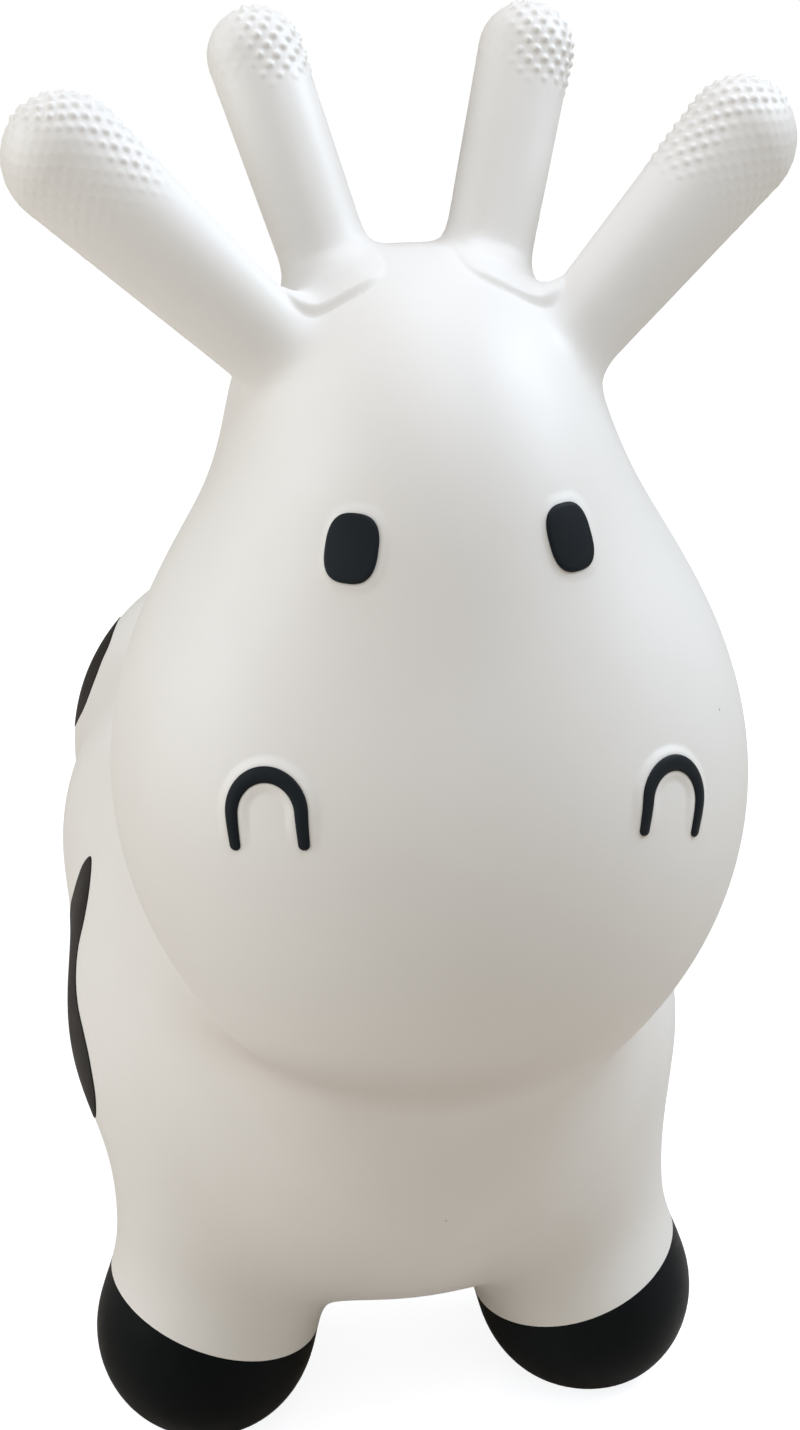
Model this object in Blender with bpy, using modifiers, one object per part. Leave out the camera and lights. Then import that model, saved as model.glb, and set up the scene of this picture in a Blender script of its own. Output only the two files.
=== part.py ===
"""Bouncy cow to ride on: a hollow, inflated skin of soft vinyl with black hooves, two ears
and two horns to hold, raised eyes and nostrils, coat patches and an air valve in the belly.

Metres, +Z up. The soles stand on z = 0, the nose points to -Y, and the animal's own left
side is +X. The skin is one swollen form worked out below; it is divided where its paint
changes and where it bends, and every region is an open shell with the wall's thickness.
"""
import bpy
import bmesh
import numpy as np
from math import cos, sin, pi, radians
from mathutils import Matrix, Vector

# Walls and clearances
WALL = 0.0024
SEAM_GAP = 0.0004
FILM_GAP = 0.0008
FILM_THICKNESS = 0.0008
RELIEF_GAP = 0.0003
RELIEF_HEIGHT = 0.0012
FIT_GAP = 0.0003
MERGE_GAP = 0.00005

# Cell size of the skin's mesh, before it is thinned out
SKIN_CELL = 0.0105

# Trunk: swollen chest, low brisket, belly and rump
CHEST_CENTRE = (0.0, -0.065, 0.143)
CHEST_RADII = (0.124, 0.098, 0.084)
BRISKET_CENTRE = (0.0, -0.113, 0.103)
BRISKET_RADII = (0.084, 0.052, 0.046)
BELLY_CENTRE = (0.0, 0.042, 0.174)
BELLY_RADII = (0.1225, 0.170, 0.096)
RUMP_CENTRE = (0.0, 0.182, 0.168)
RUMP_RADII = (0.110, 0.100, 0.096)
TRUNK_FILLET = 0.060
BRISKET_FILLET = 0.040

# Neck, from between the shoulders to the back of the crown
NECK_FOOT = (0.0, -0.043, 0.195)
NECK_TOP = (0.0, -0.128, 0.400)
NECK_FOOT_RADIUS = 0.088
NECK_TOP_MARGIN = 0.0005
NECK_FILLET = 0.070

# Head: broad muzzle, brow and narrow crown
MUZZLE_CENTRE = (0.0, -0.189, 0.308)
MUZZLE_RADII = (0.108, 0.091, 0.115)
MUZZLE_PITCH = radians(-30)
BROW_CENTRE = (0.0, -0.1755, 0.386)
BROW_RADII = (0.0622, 0.072, 0.083)
CROWN_CENTRE = (0.0, -0.1505, 0.4315)
CROWN_HALF_WIDTH = 0.0545
CROWN_RADII = (CROWN_HALF_WIDTH, 0.050, 0.042)
NECK_TOP_RADIUS = CROWN_HALF_WIDTH + NECK_TOP_MARGIN
BROW_FILLET = 0.060
CROWN_FILLET = 0.040
CHEEK_FILLET = 0.030

# Swell of the throat, which leans forwards from the chest and meets the chin in a soft crease
SWELL_CENTRE = (0.0, -0.136, 0.178)
SWELL_RADII = (0.088, 0.090, 0.110)
SWELL_PITCH = radians(30)
SWELL_FILLET = 0.066

# Legs, splayed outwards, and the hooves under them
FRONT_FOOT_Y = -0.114
REAR_FOOT_Y = 0.217
FRONT_FOOT_X = 0.0795
REAR_FOOT_X = 0.0750
HIP_INSET = 0.0235
HIP_SHIFT = 0.015
HIP_HEIGHT = 0.130
ANKLE_INSET = 0.002
ANKLE_HEIGHT = 0.040
HIP_RADIUS = 0.049
ANKLE_RADIUS = 0.039
LEG_FILLET = 0.040
HOOF_RADII = (0.043, 0.046, 0.0415)
HOOF_HEIGHT = 0.0325
HOOF_TOE = 0.003
HOOF_FILLET = 0.020

# Seams of the legs: the paint line of the hoof, and the line of the hip
HOOF_LINE_HEIGHT = 0.050
HOOF_LINE_SLOPE = radians(18.6)
LEG_BAND_HEIGHT = 0.028
HIP_LINE_HEIGHT = HOOF_LINE_HEIGHT + LEG_BAND_HEIGHT
HIP_LINE_SLOPE = radians(27)

# Seam between the neck and the trunk, from the throat up to the withers
THROAT = (0.0, -0.149, 0.206)
WITHERS = (0.0, 0.0195, 0.275)

# Ears and horns: the grips, each on its own axis
EAR_ROOT_INSET = 0.002
EAR_OVERHANG = 0.0555
EAR_ROOT = (CROWN_HALF_WIDTH - EAR_ROOT_INSET, -0.1765, 0.4535)
EAR_TIP = (CROWN_HALF_WIDTH + EAR_OVERHANG, -0.1515, 0.5065)
EAR_ROOT_RADIUS = 0.0158
EAR_TIP_RADIUS = 0.0209
EAR_FLATNESS_SHARE = 0.80
HORN_ROOT_INSET = 0.0241
HORN_TIP_INSET = 0.009
HORN_ROOT = (CROWN_HALF_WIDTH - HORN_ROOT_INSET, -0.1392, 0.4822)
HORN_TIP = (CROWN_HALF_WIDTH - HORN_TIP_INSET, -0.116, 0.533)
HORN_ROOT_RADIUS = 0.0149
HORN_TIP_RADIUS = 0.0157
GRIP_DEPTH = 0.025
GRIP_FILLET = 0.012
EAR_CUFF_START = 0.004
EAR_CUFF_LENGTH = 0.024
HORN_CUFF_START = 0.004
HORN_CUFF_LENGTH = 0.018
GRIP_RING_PITCH = 0.0115
GRIP_STUB = 0.010
STUB_MARGIN = 0.004

# Eyes and nostrils, moulded proud of the face
EYE_CENTRE = (0.0336, -0.241, 0.403)
EYE_HALF_WIDTH = 0.0086
EYE_HALF_HEIGHT = 0.0107
NOSTRIL_CENTRE = (0.0634, -0.2615, 0.3255)
NOSTRIL_ARCH_RADIUS = 0.0118
NOSTRIL_LEG = 0.0112
NOSTRIL_CROWN_WIDTH = 0.0050
NOSTRIL_END_WIDTH = 0.0032

# Coat patches: the middle of each, and its half length and half height
RIGHT_SHOULDER_PATCH = (-0.124, -0.046, 0.160)
RIGHT_SHOULDER_PATCH_HALVES = (0.058, 0.036)
RIGHT_HIP_PATCH = (-0.100, 0.192, 0.196)
RIGHT_HIP_PATCH_HALVES = (0.044, 0.032)
LEFT_SHOULDER_PATCH = (0.122, -0.013, 0.182)
LEFT_SHOULDER_PATCH_HALVES = (0.042, 0.034)
LEFT_HIP_PATCH = (0.102, 0.182, 0.178)
LEFT_HIP_PATCH_HALVES = (0.050, 0.036)
SADDLE_PATCH = (0.030, 0.117, 0.262)
SADDLE_PATCH_HALVES = (0.036, 0.030)

# Tail, moulded proud of the rump: a strap that widens to a tuft
TAIL_MIDDLE = (0.0, 0.277, 0.178)
TAIL_LENGTH = 0.092
TAIL_WIDTH = 0.012
TAIL_TUFT_WIDTH = 0.022
TAIL_TUFT_START_SHARE = 0.55
TAIL_TUFT_FULL_SHARE = 0.80
TAIL_HEIGHT = 0.0045

# Air valve in the belly: seat through the skin and plug pushed up into it
VALVE_Y = 0.052
VALVE_BORE_RADIUS = 0.0047
VALVE_SLEEVE_RADIUS = 0.0080
VALVE_FLANGE_RADIUS = 0.0140
VALVE_FLANGE_THICKNESS = 0.0016
VALVE_SLEEVE_LENGTH = 0.0140
VALVE_FLANGE_CLEARANCE = 0.0014
PLUG_TIP_RADIUS = 0.0032
PLUG_RIB_RADIUS = 0.0044
PLUG_NECK_RADIUS = 0.0039
PLUG_RIB_PITCH = 0.0035
PLUG_CAP_RADIUS = 0.0072
PLUG_CAP_THICKNESS = 0.0016
PLUG_TAB_WIDTH = 0.0070
PLUG_TAB_HEIGHT = 0.0050
PLUG_TAB_THICKNESS = 0.0016
CUT_OVERRUN = 0.010

WHITE = (0.83, 0.81, 0.78, 1.0)
BLACK = (0.010, 0.012, 0.015, 1.0)
PLUG_WHITE = (0.74, 0.73, 0.70, 1.0)

# Shares that shape the outlines, and counts of facets
EYE_SQUARENESS = 2.7
SETTLING_STEPS = 5
RELAXING_ROUNDS = 2
KEEP_SHARE = 0.22
TUBE_RESOLUTION = 4
GRIP_TIP_RINGS = 5
SPHERE_SEGMENTS = 24
TURNED_STEPS = 20
EYE_RINGS = 2
EYE_SEGMENTS = 20
EYE_EDGE_SHARE = 0.55
NOSTRIL_STATIONS = 13
NOSTRIL_END_SHARE = 0.6
PATCH_RINGS = 4
PATCH_SEGMENTS = 24
PATCH_EDGE_SHARE = 0.6
TAIL_STATIONS = 13
TAIL_END_SHARE = 0.6
PLUG_RIBS = 3
PLUG_BARB_SHARE = 0.6
LEAST_SLOPE_SHARE = 0.05
SMALL_SHARE = 1e-6
CREASE_ANGLE = radians(40)

# Clear the scene, then make the part's collection
for old in list(bpy.data.objects):
    bpy.data.objects.remove(old, do_unlink=True)
cow = bpy.data.collections.new("bouncy_cow")
bpy.context.scene.collection.children.link(cow)
cutters = bpy.data.collections.new("cutters")
bpy.context.scene.collection.children.link(cutters)


def material(name, colour, roughness):
    """Plain Principled finish of a part."""
    finish = bpy.data.materials.new(name)
    finish.use_nodes = True
    shader = finish.node_tree.nodes["Principled BSDF"]
    shader.inputs["Base Color"].default_value = colour
    shader.inputs["Roughness"].default_value = roughness
    shader.inputs["Metallic"].default_value = 0.0
    finish.diffuse_color = colour
    return finish


white_vinyl = material("white_vinyl", WHITE, 0.55)
black_vinyl = material("black_vinyl", BLACK, 0.45)
plug_plastic = material("plug_plastic", PLUG_WHITE, 0.40)


def mirrored(point, side):
    """The point on the given side of the animal: +1 is its left, -1 its right."""
    return Vector((side * point[0], point[1], point[2]))


def unit(vector):
    """The vector at length one."""
    return vector / np.linalg.norm(vector)


# The swollen form, as a distance: below zero inside, zero on the skin's outer face
def ellipsoid(p, centre, radii, pitch=0.0):
    """Distance to an ellipsoid, turned by pitch about the X axis."""
    q = p - np.array(centre)
    y = cos(pitch) * q[:, 1] + sin(pitch) * q[:, 2]
    z = cos(pitch) * q[:, 2] - sin(pitch) * q[:, 1]
    q = np.stack([q[:, 0], y, z], axis=1) / np.array(radii)
    near = np.maximum(np.linalg.norm(q, axis=1), SMALL_SHARE)
    slope = np.maximum(np.linalg.norm(q / np.array(radii), axis=1), SMALL_SHARE / max(radii))
    return near * (near - 1) / slope


def limb(p, start, end, start_radius, end_radius, flatness=1.0):
    """Distance to a round-ended limb whose radius changes evenly, flattened to its share."""
    start, end = np.array(start), np.array(end)
    axis = unit(end - start)
    length = np.linalg.norm(end - start)
    t = np.clip((p - start) @ axis / length, 0, 1)
    radius = start_radius + (end_radius - start_radius) * t
    away = p - start - t[:, None] * length * axis
    upright = unit(np.array((0, 0, 1)) - axis[2] * axis)
    thin = away @ np.cross(axis, upright)
    spread = np.sqrt((away**2).sum(axis=1) + thin**2 * (1 / flatness**2 - 1))
    return (spread - radius) * (1 + flatness) / 2


def joined(a, b, fillet):
    """Union of two distances, with a soft fillet of the given reach where they meet."""
    overlap = np.maximum(fillet - np.abs(a - b), 0) / fillet
    return np.minimum(a, b) - overlap**3 * fillet / 6


def legs_of(foot_x, foot_y, hip_shift):
    """Hip, ankle and hoof centres of one leg on the left side."""
    hip = (foot_x - HIP_INSET, foot_y + hip_shift, HIP_HEIGHT)
    ankle = (foot_x - ANKLE_INSET, foot_y, ANKLE_HEIGHT)
    hoof = (foot_x, foot_y - HOOF_TOE, HOOF_HEIGHT)
    return hip, ankle, hoof


FRONT_LEG = legs_of(FRONT_FOOT_X, FRONT_FOOT_Y, HIP_SHIFT)
REAR_LEG = legs_of(REAR_FOOT_X, REAR_FOOT_Y, -HIP_SHIFT)


class Grip:
    """One ear or horn: its axis, its radii and the stations of its seams."""

    def __init__(self, root, tip, root_radius, tip_radius, flatness, cuff_start, cuff_length):
        self.root = np.array(root)
        self.tip = np.array(tip)
        self.axis = unit(self.tip - self.root)
        self.inner = self.root - GRIP_DEPTH * self.axis
        self.length = np.linalg.norm(self.tip - self.inner)
        growth = (tip_radius - root_radius) / np.linalg.norm(self.tip - self.root)
        self.inner_radius = root_radius - growth * GRIP_DEPTH
        self.tip_radius = tip_radius
        self.flatness = flatness
        self.cuff_start = cuff_start
        self.cuff_end = cuff_start + cuff_length
        self.stub = self.at(cuff_start + GRIP_STUB)
        self.stub_radius = self.radius_at(cuff_start + GRIP_STUB)

    def at(self, station):
        """The point of the axis that lies this far past the root."""
        return self.root + station * self.axis

    def radius_at(self, station):
        """The radius there, by the limb's even change."""
        t = (station + GRIP_DEPTH) / self.length
        return self.inner_radius + (self.tip_radius - self.inner_radius) * t


EAR = Grip(EAR_ROOT, EAR_TIP, EAR_ROOT_RADIUS, EAR_TIP_RADIUS, EAR_FLATNESS_SHARE,
           EAR_CUFF_START, EAR_CUFF_LENGTH)
HORN = Grip(HORN_ROOT, HORN_TIP, HORN_ROOT_RADIUS, HORN_TIP_RADIUS, 1.0,
            HORN_CUFF_START, HORN_CUFF_LENGTH)


def form(points, stubs=False):
    """Distance of points to the whole animal, which is alike on both sides.

    With stubs, each ear and horn ends in a round stub just past its first seam.
    """
    p = np.array(points, dtype=float)
    p[:, 0] = np.abs(p[:, 0])
    d = joined(ellipsoid(p, CHEST_CENTRE, CHEST_RADII),
               ellipsoid(p, BELLY_CENTRE, BELLY_RADII), TRUNK_FILLET)
    d = joined(d, ellipsoid(p, RUMP_CENTRE, RUMP_RADII), TRUNK_FILLET)
    d = joined(d, ellipsoid(p, BRISKET_CENTRE, BRISKET_RADII), BRISKET_FILLET)
    neck = limb(p, NECK_FOOT, NECK_TOP, NECK_FOOT_RADIUS, NECK_TOP_RADIUS)
    d = joined(d, neck, NECK_FILLET)
    for hip, ankle, hoof in (FRONT_LEG, REAR_LEG):
        d = joined(d, limb(p, hip, ankle, HIP_RADIUS, ANKLE_RADIUS), LEG_FILLET)
        d = joined(d, ellipsoid(p, hoof, HOOF_RADII), HOOF_FILLET)
    head = ellipsoid(p, MUZZLE_CENTRE, MUZZLE_RADII, MUZZLE_PITCH)
    head = joined(head, ellipsoid(p, BROW_CENTRE, BROW_RADII), BROW_FILLET)
    head = joined(head, ellipsoid(p, CROWN_CENTRE, CROWN_RADII), CROWN_FILLET)
    d = joined(d, head, CHEEK_FILLET)
    d = joined(d, ellipsoid(p, SWELL_CENTRE, SWELL_RADII, SWELL_PITCH), SWELL_FILLET)
    for grip in (EAR, HORN):
        end, radius = (grip.stub, grip.stub_radius) if stubs else (grip.tip, grip.tip_radius)
        reach = limb(p, grip.inner, end, grip.inner_radius, radius, grip.flatness)
        d = joined(d, reach, GRIP_FILLET)
    return d


def steepest(points, stubs=False):
    """Gradient of the form, by central differences over a tenth of the wall."""
    step = WALL / 10
    slope = np.zeros_like(points)
    for i in range(3):
        shift = np.zeros(3)
        shift[i] = step
        slope[:, i] = (form(points + shift, stubs) - form(points - shift, stubs)) / (2 * step)
    return slope


def settle(points, height=0.0, stubs=False):
    """Move points square to the skin until they lie at this height over it."""
    for _ in range(SETTLING_STEPS):
        slope = steepest(points, stubs)
        size = np.maximum((slope**2).sum(axis=1), LEAST_SLOPE_SHARE)
        points = points - ((form(points, stubs) - height) / size)[:, None] * slope
    return points


def places(bm):
    """The positions of a mesh's vertices, as rows."""
    return np.array([v.co[:] for v in bm.verts])


def put(bm, points):
    """Move a mesh's vertices to the given rows."""
    for vert, point in zip(bm.verts, points):
        vert.co = point


def turn_to(direction):
    """Rotation that takes +Z to the direction."""
    return Vector(direction).to_track_quat("Z", "Y").to_matrix().to_4x4()


# Rough bodies under the skin, which the voxel remesh joins
def add_ball(bm, centre, radii, pitch=0.0):
    """An ellipsoid from a UV sphere, turned by pitch about X."""
    placed = Matrix.Translation(centre) @ Matrix.Rotation(pitch, 4, "X")
    placed = placed @ Matrix.Diagonal((*radii, 1))
    bmesh.ops.create_uvsphere(bm, u_segments=SPHERE_SEGMENTS, v_segments=SPHERE_SEGMENTS // 2,
                              radius=1, matrix=placed)


def add_limb(bm, start, end, start_radius, end_radius):
    """A limb from a tapered cylinder with a ball at each end."""
    start, end = Vector(start), Vector(end)
    placed = Matrix.Translation((start + end) / 2) @ turn_to(end - start)
    bmesh.ops.create_cone(bm, cap_ends=True, segments=SPHERE_SEGMENTS, radius1=start_radius,
                          radius2=end_radius, depth=(end - start).length, matrix=placed)
    add_ball(bm, start, (start_radius,) * 3)
    add_ball(bm, end, (end_radius,) * 3)


def rough_animal():
    """All swollen bodies, with a stub of each grip that reaches past its first seam."""
    bm = bmesh.new()
    add_ball(bm, CHEST_CENTRE, CHEST_RADII)
    add_ball(bm, BRISKET_CENTRE, BRISKET_RADII)
    add_ball(bm, BELLY_CENTRE, BELLY_RADII)
    add_ball(bm, RUMP_CENTRE, RUMP_RADII)
    add_ball(bm, MUZZLE_CENTRE, MUZZLE_RADII, MUZZLE_PITCH)
    add_ball(bm, BROW_CENTRE, BROW_RADII)
    add_ball(bm, CROWN_CENTRE, CROWN_RADII)
    add_ball(bm, SWELL_CENTRE, SWELL_RADII, SWELL_PITCH)
    add_limb(bm, NECK_FOOT, NECK_TOP, NECK_FOOT_RADIUS, NECK_TOP_RADIUS)
    for side in (1, -1):
        for hip, ankle, hoof in (FRONT_LEG, REAR_LEG):
            add_limb(bm, mirrored(hip, side), mirrored(ankle, side), HIP_RADIUS, ANKLE_RADIUS)
            add_ball(bm, mirrored(hoof, side), HOOF_RADII)
        for grip in (EAR, HORN):
            add_limb(bm, mirrored(grip.inner, side), mirrored(grip.stub, side),
                     grip.inner_radius, grip.stub_radius)
    return bm


def remeshed(bm, cell):
    """The outer hull of overlapping bodies, as even quads of the given size."""
    mesh = bpy.data.meshes.new("rough")
    bm.to_mesh(mesh)
    rough = bpy.data.objects.new("rough", mesh)
    bpy.context.scene.collection.objects.link(rough)
    voxels = rough.modifiers.new("voxels", "REMESH")
    voxels.mode = "VOXEL"
    voxels.voxel_size = cell
    return evaluated(rough)


def layered(outer, stubs=False):
    """One mesh of both faces of the wall: the inner one lies a wall deeper, turned inwards."""
    points = settle(places(outer), 0.0, stubs)
    put(outer, points)
    inner = outer.copy()
    put(inner, settle(points - WALL * steepest(points, stubs), -WALL, stubs))
    for layer, height in ((outer, 0.0), (inner, WALL)):
        cut(layer, (0, 0, height), (0, 0, 1))
    bmesh.ops.reverse_faces(inner, faces=inner.faces)
    lining = bpy.data.meshes.new("lining")
    inner.to_mesh(lining)
    outer.from_mesh(lining)
    skin = bpy.data.meshes.new("skin")
    outer.to_mesh(skin)
    return skin


def cut(bm, point, normal):
    """Keep the side that the normal points to, and close what the cut opens."""
    sliced = bmesh.ops.bisect_plane(bm, geom=[*bm.verts, *bm.edges, *bm.faces],
                                    dist=WALL * SMALL_SHARE, plane_co=point,
                                    plane_no=normal, clear_inner=True)
    rim = [e for e in sliced["geom_cut"] if isinstance(e, bmesh.types.BMEdge) and e.is_boundary]
    if not rim:
        return bm
    filled = bmesh.ops.triangle_fill(bm, edges=rim, use_beauty=True, use_dissolve=False)
    faces = [f for f in filled["geom"] if isinstance(f, bmesh.types.BMFace)]
    for face in faces:
        if face.normal.dot(Vector(normal)) > 0:
            face.normal_flip()
    return bm


def add_object(name, mesh, finish, collection=cow):
    """A named object of the part, shaded smooth with crisp rims."""
    mesh.name = name
    mesh.materials.clear()
    mesh.materials.append(finish)
    mesh.shade_smooth()
    mesh.set_sharp_from_angle(angle=CREASE_ANGLE)
    made = bpy.data.objects.new(name, mesh)
    collection.objects.link(made)
    return made


def region(name, skin, cuts, finish):
    """The stretch of skin that is left by the cuts, as an object of its own."""
    bm = bmesh.new()
    bm.from_mesh(skin)
    for point, normal in cuts:
        cut(bm, point, normal)
    mesh = bpy.data.meshes.new(name)
    bm.to_mesh(mesh)
    return add_object(name, mesh, finish)


def evaluated(item):
    """The mesh that an object shows with its modifiers, as a bmesh, and the object removed."""
    shown = item.evaluated_get(bpy.context.evaluated_depsgraph_get())
    bm = bmesh.new()
    bm.from_mesh(bpy.data.meshes.new_from_object(shown))
    bpy.data.objects.remove(item, do_unlink=True)
    return bm


def thinned(mesh, share):
    """The mesh with this share of its triangles, fewest where it is flattest."""
    full = bpy.data.objects.new("full", mesh)
    bpy.context.scene.collection.objects.link(full)
    fewer = full.modifiers.new("fewer", "DECIMATE")
    fewer.ratio = share
    fewer.use_symmetry = True
    fewer.symmetry_axis = "X"
    return evaluated(full)


def animal_skin():
    """Both faces of the animal's skin, alike on both sides."""
    bm = remeshed(rough_animal(), SKIN_CELL)
    put(bm, settle(places(bm), 0.0, True))
    for _ in range(RELAXING_ROUNDS):
        bmesh.ops.smooth_vert(bm, verts=bm.verts, factor=0.5, use_axis_x=True, use_axis_y=True,
                              use_axis_z=True)
        put(bm, settle(places(bm), 0.0, True))
    bmesh.ops.symmetrize(bm, input=[*bm.verts, *bm.edges, *bm.faces], direction="X",
                         dist=SKIN_CELL * SMALL_SHARE)
    even = bpy.data.meshes.new("even")
    bm.to_mesh(even)
    return layered(thinned(even, KEEP_SHARE), True)


def tube(points, radii, resolution):
    """A tube along points, with its own radius at each and closed ends."""
    curve = bpy.data.curves.new("tube", "CURVE")
    curve.dimensions = "3D"
    curve.bevel_depth = max(radii)
    curve.bevel_resolution = resolution
    curve.use_fill_caps = True
    spline = curve.splines.new("POLY")
    spline.points.add(len(points) - 1)
    for knot, point, radius in zip(spline.points, points, radii):
        knot.co = (*point, 1)
        knot.radius = radius / max(radii)
    path = bpy.data.objects.new("tube", curve)
    bpy.context.scene.collection.objects.link(path)
    bm = evaluated(path)
    bmesh.ops.remove_doubles(bm, verts=bm.verts, dist=max(radii) / 1000)
    bmesh.ops.recalc_face_normals(bm, faces=bm.faces)
    return bm


def grip_skin(grip, side):
    """Both faces of one ear or horn, from a tapered tube with a round end."""
    start = grip.cuff_start - GRIP_RING_PITCH
    reach = np.linalg.norm(grip.tip - grip.root)
    rings = max(3, round((reach - start) / GRIP_RING_PITCH))
    stations = list(np.linspace(start, reach, rings, endpoint=False))
    radii = [grip.radius_at(station) for station in stations]
    for angle in np.linspace(0, pi / 2, GRIP_TIP_RINGS, endpoint=False):
        stations.append(reach + grip.tip_radius * sin(angle))
        radii.append(grip.tip_radius * cos(angle))
    points = [mirrored(grip.at(station), side) for station in stations]
    return layered(tube(points, radii, TUBE_RESOLUTION))


def bored(item, name, centre, direction, radius, depth):
    """Cut a round hole out of an object, from the centre this deep along the direction."""
    direction = Vector(direction).normalized()
    bm = bmesh.new()
    placed = Matrix.Translation(Vector(centre) + direction * depth / 2) @ turn_to(direction)
    bmesh.ops.create_cone(bm, cap_ends=True, segments=TURNED_STEPS, radius1=radius,
                          radius2=radius, depth=depth, matrix=placed)
    mesh = bpy.data.meshes.new(name)
    bm.to_mesh(mesh)
    cutter = bpy.data.objects.new(name, mesh)
    cutters.objects.link(cutter)
    cutter.hide_render = True
    cutter.display_type = "WIRE"
    hole = item.modifiers.new(name, "BOOLEAN")
    hole.operation = "DIFFERENCE"
    hole.solver = "EXACT"
    hole.object = cutter


# Seams as planes, each side held back by half of the seam's gap
def seam(point, normal):
    """The two cuts of a seam: the one that keeps the normal's side, and the other."""
    point, normal = Vector(point), Vector(normal).normalized()
    back = normal * SEAM_GAP / 2
    return (point + back, normal), (point - back, -normal)


def leg_seam(height, slope, side):
    """A seam across both legs of one side, tilted down towards the middle."""
    point = mirrored((FRONT_FOOT_X, 0, height), side)
    return seam(point, (-side * sin(slope), 0, cos(slope)))


def grip_seam(grip, station, side):
    """A seam square to the axis of an ear or horn."""
    return seam(mirrored(grip.at(station), side), mirrored(grip.axis, side))


ahead_of_throat = Vector(WITHERS) - Vector(THROAT)
neck_up, neck_down = seam(THROAT, (0, -ahead_of_throat.z, ahead_of_throat.y))

skin = animal_skin()

# Trunk, with a hole for the valve in the middle of the belly
trunk_cuts = [neck_down]
for side in (1, -1):
    trunk_cuts.append(leg_seam(HIP_LINE_HEIGHT, HIP_LINE_SLOPE, side)[0])
torso = region("torso_skin", skin, trunk_cuts, white_vinyl)
belly_point = settle(np.array([[0.0, VALVE_Y, BELLY_CENTRE[2] - BELLY_RADII[2]]]))[0]
BELLY_Z = belly_point[2]
bored(torso, "valve_hole", (0, VALVE_Y, BELLY_Z - CUT_OVERRUN), (0, 0, 1),
      VALVE_SLEEVE_RADIUS + FIT_GAP, WALL + 2 * CUT_OVERRUN)

# Legs and hooves
for side, hand in ((1, "left"), (-1, "right")):
    above_hip, below_hip = leg_seam(HIP_LINE_HEIGHT, HIP_LINE_SLOPE, side)
    above_hoof, below_hoof = leg_seam(HOOF_LINE_HEIGHT, HOOF_LINE_SLOPE, side)
    this_side = ((0, 0, 0), (side, 0, 0))
    for end, name in ((-1, "front"), (1, "rear")):
        this_end = ((0, 0, 0), (0, end, 0))
        region(f"{name}_{hand}_leg", skin, [this_side, this_end, below_hip, above_hoof],
               white_vinyl)
        region(f"{name}_{hand}_hoof", skin, [this_side, this_end, below_hoof], black_vinyl)

# Head, with the four grips cut off square at the start of their cuffs
head = region("head_skin", skin, [neck_up], white_vinyl)
for side, hand in ((1, "left"), (-1, "right")):
    for grip, name in ((EAR, "ear"), (HORN, "horn")):
        point = mirrored(grip.at(grip.cuff_start), side)
        direction = mirrored(grip.axis, side)
        bored(head, f"{hand}_{name}_hole", point - direction * SEAM_GAP / 2, direction,
              grip.stub_radius + STUB_MARGIN, GRIP_STUB + grip.stub_radius + STUB_MARGIN)

# Ears and horns: a cuff that bends at the root, and the grip itself
for side, hand in ((1, "left"), (-1, "right")):
    for grip, name in ((EAR, "ear"), (HORN, "horn")):
        mesh = grip_skin(grip, side)
        past_start = grip_seam(grip, grip.cuff_start, side)[0]
        past_end, before_end = grip_seam(grip, grip.cuff_end, side)
        region(f"{hand}_{name}_root", mesh, [past_start, before_end], white_vinyl)
        region(f"{hand}_{name}", mesh, [past_end], white_vinyl)


# Films and reliefs: thin pieces that follow the skin at a small height
def coin(rings, segments, crown_share):
    """A flat round blank of radius and height one, turned from its section."""
    bm = bmesh.new()
    section = [(i / rings, 0) for i in range(rings)]
    section += [(1, 0), (1, crown_share), (1 - (1 - crown_share) / 4, 1)]
    section += [(i / rings, 1) for i in reversed(range(rings))]
    verts = [bm.verts.new((r, 0, h)) for r, h in section]
    edges = [bm.edges.new(pair) for pair in zip(verts, verts[1:])]
    bmesh.ops.spin(bm, geom=[*verts, *edges], cent=(0, 0, 0), axis=(0, 0, 1), angle=2 * pi,
                   steps=segments, use_merge=True)
    bmesh.ops.remove_doubles(bm, verts=bm.verts, dist=SMALL_SHARE)
    bmesh.ops.recalc_face_normals(bm, faces=bm.faces)
    return bm


def bar(stations, end_share):
    """A straight round-ended blank: X runs from zero to one, Y to both sides, Z up to one."""
    along = np.linspace(0, 1, stations)
    radii = [end_share] + [1] * (stations - 2) + [end_share]
    bm = tube([(x, 0, 0) for x in along], radii, 1)
    for vert in bm.verts:
        vert.co.z = (vert.co.z + 1) / 2
    return bm


def on_skin(name, blank, centre, outline, gap, height, finish):
    """Bend a blank onto the skin round a centre.

    The outline turns the blank's first two coordinates into lengths across and up the skin,
    and the third grows from the gap to the gap plus the height.
    """
    base = settle(np.array([centre], dtype=float))
    out = unit(steepest(base)[0])
    across = unit(np.cross((0, 0, 1), out))
    up = np.cross(out, across)
    q = places(blank)
    a, b = outline(q[:, 0], q[:, 1])
    over = gap + height * q[:, 2]
    flat = base + a[:, None] * across + b[:, None] * up
    followed = settle(flat)
    normals = steepest(followed)
    normals = normals / np.linalg.norm(normals, axis=1)[:, None]
    put(blank, followed + over[:, None] * normals)
    mesh = bpy.data.meshes.new(name)
    blank.to_mesh(mesh)
    return add_object(name, mesh, finish)


def eye_outline(x, y):
    """Rounded oval: a disc whose radius follows a superellipse."""
    angle = np.arctan2(y, x)
    power = EYE_SQUARENESS
    radius = (np.abs(np.cos(angle) / EYE_HALF_WIDTH)**power
              + np.abs(np.sin(angle) / EYE_HALF_HEIGHT)**power)**(-1 / power)
    share = np.hypot(x, y)
    return share * radius * np.cos(angle), share * radius * np.sin(angle)


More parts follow.
